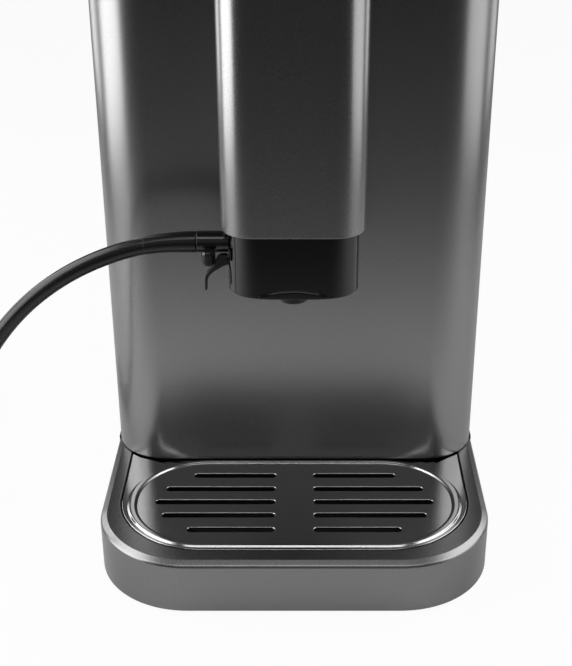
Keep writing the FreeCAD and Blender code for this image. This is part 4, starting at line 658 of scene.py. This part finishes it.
def ring_end(low, high):
    """Points on the ring's right end between two depths: depth = middle + half depth * sine, and
    across = the corner's centre + the root of its radius squared less what it is past the centre."""
    half_depth = (RING_REAR - RING_FRONT) / 2
    sines = np.clip((np.array([low, high]) - RING_MIDDLE) / half_depth, -1, 1)
    depth = RING_MIDDLE + half_depth * np.sin(np.linspace(*np.arcsin(sines), 9))
    past = np.maximum(np.abs(depth - RING_MIDDLE) - (half_depth - RING_CORNER), 0)
    across = RING_HALF - RING_CORNER + np.sqrt(np.maximum(RING_CORNER ** 2 - past ** 2, 0))
    return np.column_stack([across, depth])


def cell_line(low, high):
    """The right half of one row's field: along its front, up the ring's end, back and down the middle."""
    end = ring_end(low, high)
    return np.concatenate([between((0, low), end[0], 16), end[:-1],
                           between(end[-1], (0, high), 16), between((0, high), (0, low), 8)])


def slot_line(middle, reach, radius):
    """A slot's outline with a point for each of its field's: two runs and two half circles."""
    near, far = SLOT_INNER_END, reach - SLOT_RADIUS
    low, high = middle - radius, middle + radius
    return np.concatenate([bow(near, middle, radius, 225, 270, 4), between((near, low), (far, low), 8),
                           bow(far, middle, radius, 270, 450, 16), between((far, high), (near, high), 8),
                           bow(near, middle, radius, 90, 225, 12)])


def whole(half):
    """A closed line from its right half, which starts and ends on the middle."""
    return np.concatenate([half, half[-2:0:-1] * (-1, 1)])


def edge_line(ring):
    """The grid's own outline, with a point for each of the ring's: in front in the same direction from
    the middle, and behind at the same share of the way. Behind, it follows the panel's round corner a
    millimetre off, out to a sharp tip at either side."""
    panel_x, panel_f, gap = 72, 28, 1
    tip = np.array([GRID_HALF, 6.09])
    front = np.concatenate([[(0, GRID_CORNER_F - GRID_CORNER)],
                            bow(GRID_HALF - GRID_CORNER, GRID_CORNER_F, GRID_CORNER, -90, 0, 24),
                            [(GRID_HALF, GRID_CORNER_F), tip]])
    aims = np.arctan2(front[:, 1] - RING_MIDDLE, front[:, 0])
    found = read_off(np.arctan2(ring[:, 1] - RING_MIDDLE, ring[:, 0]), aims, front)
    rear = np.concatenate([[(GRID_HALF, RING_MIDDLE), tip],
                           bow(panel_x, panel_f, panel_f + gap, -49.1, -90, 16),
                           [(panel_x, -gap), (0, -gap)]])
    way = distances(rear)
    behind = ring[:, 1] > RING_MIDDLE
    share = distances(ring[behind])
    share = share / share[-1] * way[-1]
    share[np.argmin(np.abs(share - way[1]))] = way[1]
    found[behind] = read_off(share, way, rear)
    return found


def stacked(rows):
    """A grid of places from (plan line, height) rows."""
    return np.stack([np.column_stack([plan, np.full(len(plan), height)]) for plan, height in rows], axis=1)


def slot_field(low, high, middle, reach):
    """One right-hand field: a plate that narrows from its outline to its slot's eased lip, and the
    slot's wall, which widens again to the outline under the plate."""
    field = cell_line(low, high)
    lip = [(slot_line(middle, reach, SLOT_RADIUS + GRID_EASE - GRID_EASE * math.sin(angle)),
            GRID_TOP - GRID_EASE * (1 - math.cos(angle))) for angle in QUARTER]
    hole = slot_line(middle, reach, SLOT_RADIUS)
    return stacked([(field, GRID_TOP)] + lip + [(hole, GRID_UNDER), (field, GRID_UNDER)])


def ring_line():
    """The right half of the fields' own outline together, which is the bead's inner foot."""
    return np.concatenate([between((0, RING_FRONT), ring_end(*ROW_EDGES[:2])[0], 16)]
                          + [ring_end(low, high)[:-1] for low, high in zip(ROW_EDGES, ROW_EDGES[1:])]
                          + [between(ring_end(*ROW_EDGES[-2:])[-1], (0, RING_REAR), 16), [(0, RING_REAR)]])


def bead_line(ring):
    """The bead's outer foot, a width outside the ring. The width is less by rear_loss times the square
    of back, and by corner_loss times the square of across times ahead, the parts of its normal."""
    width, rear_loss, corner_loss = 5.4, 2.2, 3
    straight = RING_HALF - RING_CORNER
    core = np.clip(ring, (-straight, RING_MIDDLE - 1), (straight, RING_MIDDLE + 1))
    out = unit(ring - core)
    across, back, ahead = out[:, :1], np.maximum(out[:, 1:], 0), np.minimum(out[:, 1:], 0)
    return ring + out * (width - (rear_loss * back ** 2 + corner_loss * (across * ahead) ** 2))


def bead_rows(outer, inner):
    """The bead from its outer foot to its inner one. It rises to its top by a smooth step over a slope
    at either side, and is crowned by crown * share * (1 - share) more."""
    slope, top, crown = 0.28, 0.95, 0.2
    part = slope * np.linspace(0, 1, 7)
    share = np.concatenate([part, [0.4, 0.5, 0.6], 1 - part[::-1]])
    rise = np.clip(np.minimum(share, 1 - share) / slope, 0, 1)
    rise = top * rise ** 2 * (3 - 2 * rise) + crown * share * (1 - share)
    return [(outer * (1 - s) + inner * s, GRID_TOP + height) for s, height in zip(share, rise)]


def fold_rows(edge):
    """The folded edge: down its inside, under its foot, up its face and over its eased rim."""
    along = step(edge, 0, True)
    square = unit(np.column_stack([along[:, 1], -along[:, 0]]))
    rim = [(edge - square * GRID_EASE * (1 - math.cos(angle)),
            GRID_TOP - GRID_EASE + GRID_EASE * math.sin(angle)) for angle in QUARTER]
    return [(edge - square, GRID_UNDER), (edge - square, GRID_FOOT), (edge, GRID_FOOT)] + rim


def pressed_grid():
    """Five fields and their mirror images, and one band round them: the ring bead, the outer plate and
    the folded edge, with the band's underside a sheet's thickness below."""
    skin = Skin()
    for low, high, (middle, reach) in zip(ROW_EDGES, ROW_EDGES[1:], SLOT_ROWS):
        places = slot_field(low, high, middle, reach)
        skin.patch(places, around=True)
        skin.patch(places[::-1] * (-1, 1, 1), around=True)
    ring = ring_line()
    wide = bead_line(ring)
    bead = bead_rows(whole(wide), whole(ring))
    under = [(plan, height - (GRID_TOP - GRID_UNDER)) for plan, height in bead[::-1]]
    skin.patch(stacked(under + fold_rows(whole(edge_line(wide))) + bead), around=True)
    return skin


grid_steel = brushed("grid_steel", 176, (2600, 180, 2600), 0.16, 5, 0.000002)
pressed_grid().piece("pressed_grid", grid_steel, "polished_steel", "grid", "drip_grid")

# Control head over the column: a gloss black moulded hood. A dark touch glass is let into its slope,
# and the round power button sits in a hole in the glass.

dress(gloss_black, "control_head", "power_button")
glass = Finish("touch_glass")
dress(glass.surface({
    "Base Color": shade(9),
    "Roughness": 0.05 + glass.noise((30, 30, 30)) * 0.02,
    "Coat Weight": 1.0,
    "Coat Roughness": 0.02,
}), "touch_glass")

# Top of the machine: a black moulded cover with the bean hopper and its smoked lid, the grind knob
# and, behind, the lift-out water tank. The tank has a lid of its own and a valve in its floor.


def smoked(name, tone, clear):
    """Smoke-tinted clear moulding."""
    finish = Finish(name)
    wave = finish.noise((40, 40, 40), 1.0)
    return finish.surface({
        "Base Color": shade(tone),
        "Roughness": 0.08 + wave * 0.04,
        "Transmission Weight": clear,
        "IOR": 1.49,
        "Normal": finish.bumped(wave, 0.000004, 0.0004),
    })


dress(moulded("top_black", 34, 0.46), "top_cover", "tank_lid", "grind_knob")
dress(smoked("smoke_lid", 120, 0.85), "bean_lid")
dress(smoked("smoke_hopper", 150, 0.85), "bean_hopper", "water_tank")
dress(seal_rubber, "tank_valve")

# Mains side at the back: one hard black moulding, let into the rear panel, holds the standard
# three-blade inlet and the well where the rocker turns on its pivot.

dress(moulded("inlet_black", 30, 0.42), "power_inlet", "power_switch")

# Studio: a pale floor under soft light, with painted shade out in front for the steel to mirror, and a camera
# at the photograph's height and angle. Soft boxes on both sides draw the long highlights down the steel, and
# the world adds a faint even fill.

LOOKS_DOWN = 26.4

studio = bpy.context.scene
view = bpy.data.cameras.new("view")
view.lens = 66.81
view.sensor_width = 36.0
view.shift_x = -0.0255
view.clip_end = 50.0
camera = bpy.data.objects.new("view", view)
camera.location = (0.00447, -0.7026, 0.4001)
camera.rotation_euler = (math.radians(90 - LOOKS_DOWN), 0.0, 0.0)
studio.collection.objects.link(camera)
studio.camera = camera
studio.view_settings.view_transform = "Standard"

# A new Blender file has a camera and a lamp of its own.
for spare in ("Camera", "Light"):
    if spare in bpy.data.objects:
        bpy.data.objects.remove(bpy.data.objects[spare])

FLOOR_RADIUS = 8
# Painted shade on the floor: full where its colour is darkest, and ending where it is pale again.
PAINTED_SHADE_FULL = -0.66
PAINTED_SHADE_EDGE = -0.16


def pale_floor():
    """A round floor, pale round the machine, with painted shade out in front: its colour darkens there to
    stand in for unlit space, so the steel mirrors darkness. The camera sees it white, and its shadows stay."""
    ring = np.linspace(0, 2 * math.pi, 64, endpoint=False)
    rim = np.stack([FLOOR_RADIUS * np.cos(ring), FLOOR_RADIUS * np.sin(ring), 0 * ring], axis=1)
    mesh = bpy.data.meshes.new("floor")
    mesh.from_pydata(rim.tolist(), [], [list(range(len(rim)))])
    floor = bpy.data.objects.new("floor", mesh)
    studio.collection.objects.link(floor)
    finish = Finish("floor_pale")
    place = finish.node("ShaderNodeTexCoord", {}, {}, "Object")
    ahead = finish.node("ShaderNodeSeparateXYZ", {}, {"Vector": place}, "Y")
    near = finish.node("ShaderNodeMapRange", {"interpolation_type": "SMOOTHSTEP"},
                       {"Value": ahead, "From Min": PAINTED_SHADE_FULL, "From Max": PAINTED_SHADE_EDGE})
    camera_ray = finish.node("ShaderNodeLightPath", {}, {}, "Is Camera Ray")
    finish.surface({
        # Painted shade: the colour darkens out in front in place of unlit space, so the steel mirrors
        # darkness.
        "Base Color": finish.blend(near, shade(106), shade(228)),
        "Roughness": 0.9,
        "Specular IOR Level": 0.1,
    })
    glow = finish.node("ShaderNodeEmission", {}, {"Color": (1, 1, 1, 1), "Strength": 1.0})
    lit = Wire(finish, finish.shader.outputs[0])
    mixed = finish.node("ShaderNodeMixShader", {}, {0: camera_ray * 0.95, 1: lit, 2: glow})
    finish.shown("Material Output", mixed)
    mesh.materials.append(finish.material)


pale_floor()


def lamp(name, place, size, radiance, aim=None):
    """A rectangular soft box that faces a point, or else straight across to the machine's middle plane.
    Its power is four times its area times its radiance."""
    aim = aim or (0.0, place[1], place[2])
    light = bpy.data.lights.new(name, "AREA")
    light.shape = "RECTANGLE"
    light.size, light.size_y = size
    light.energy = 4 * size[0] * size[1] * radiance
    holder = bpy.data.objects.new(name, light)
    away = np.array(place) - np.array(aim)
    holder.location = place
    holder.rotation_euler = (math.atan2(math.hypot(away[0], away[1]), away[2]), 0.0,
                             math.atan2(away[1], away[0]) + math.pi / 2)
    studio.collection.objects.link(holder)
    holder.visible_camera = False


LAMP_SIDE = 0.57
lamp("left_near", (-LAMP_SIDE, -0.26, 0.48), (0.48, 0.84), 2.7)
lamp("left_far", (-LAMP_SIDE, 0.30, 0.18), (0.34, 0.22), 1.7)
lamp("left_high", (-LAMP_SIDE, 0.16, 0.61), (0.34, 0.58), 2.6)
lamp("right_near", (LAMP_SIDE, -0.26, 0.16), (0.48, 0.20), 1.1)
lamp("right_far", (LAMP_SIDE, 0.30, 0.18), (0.34, 0.22), 1.0)
lamp("right_high", (LAMP_SIDE, -0.07, 0.59), (0.86, 0.62), 2.1)
lamp("front_box", (0.0, -0.70, 1.18), (1.0, 0.5), 0.6, aim=(0.0, -0.20, 0.0))
lamp("front_strip", (0.0, -0.74, 1.13), (1.0, 0.12), 2.2, aim=(0.0, -0.20, 0.0))
lamp("front_wall", (0.0, -1.70, 1.0), (1.6, 0.8), 0.1, aim=(0.0, -0.10, 0.1))
lamp("back_box", (0.0, 0.90, 1.60), (1.4, 0.6), 0.3, aim=(0.0, 0.10, 0.2))


def pale_world():
    """The world is a faint even fill, and white where the camera sees it, also through clear pieces."""
    world = bpy.data.worlds.new("studio_world")
    world.use_nodes = True
    tree = NodeTree(world.node_tree)
    camera_ray = tree.node("ShaderNodeLightPath", {}, {}, "Is Camera Ray")
    clear_ray = tree.node("ShaderNodeLightPath", {}, {}, "Is Transmission Ray")
    seen = camera_ray.joined("MAXIMUM", camera_ray, clear_ray)
    fill = tree.node("ShaderNodeBackground", {}, {"Color": (0.09, 0.09, 0.09, 1.0)})
    white = tree.node("ShaderNodeBackground", {}, {"Color": (1.0, 1.0, 1.0, 1.0)})
    tree.shown("World Output", tree.node("ShaderNodeMixShader", {}, {0: seen, 1: fill, 2: white}))
    return world


studio.world = pale_world()
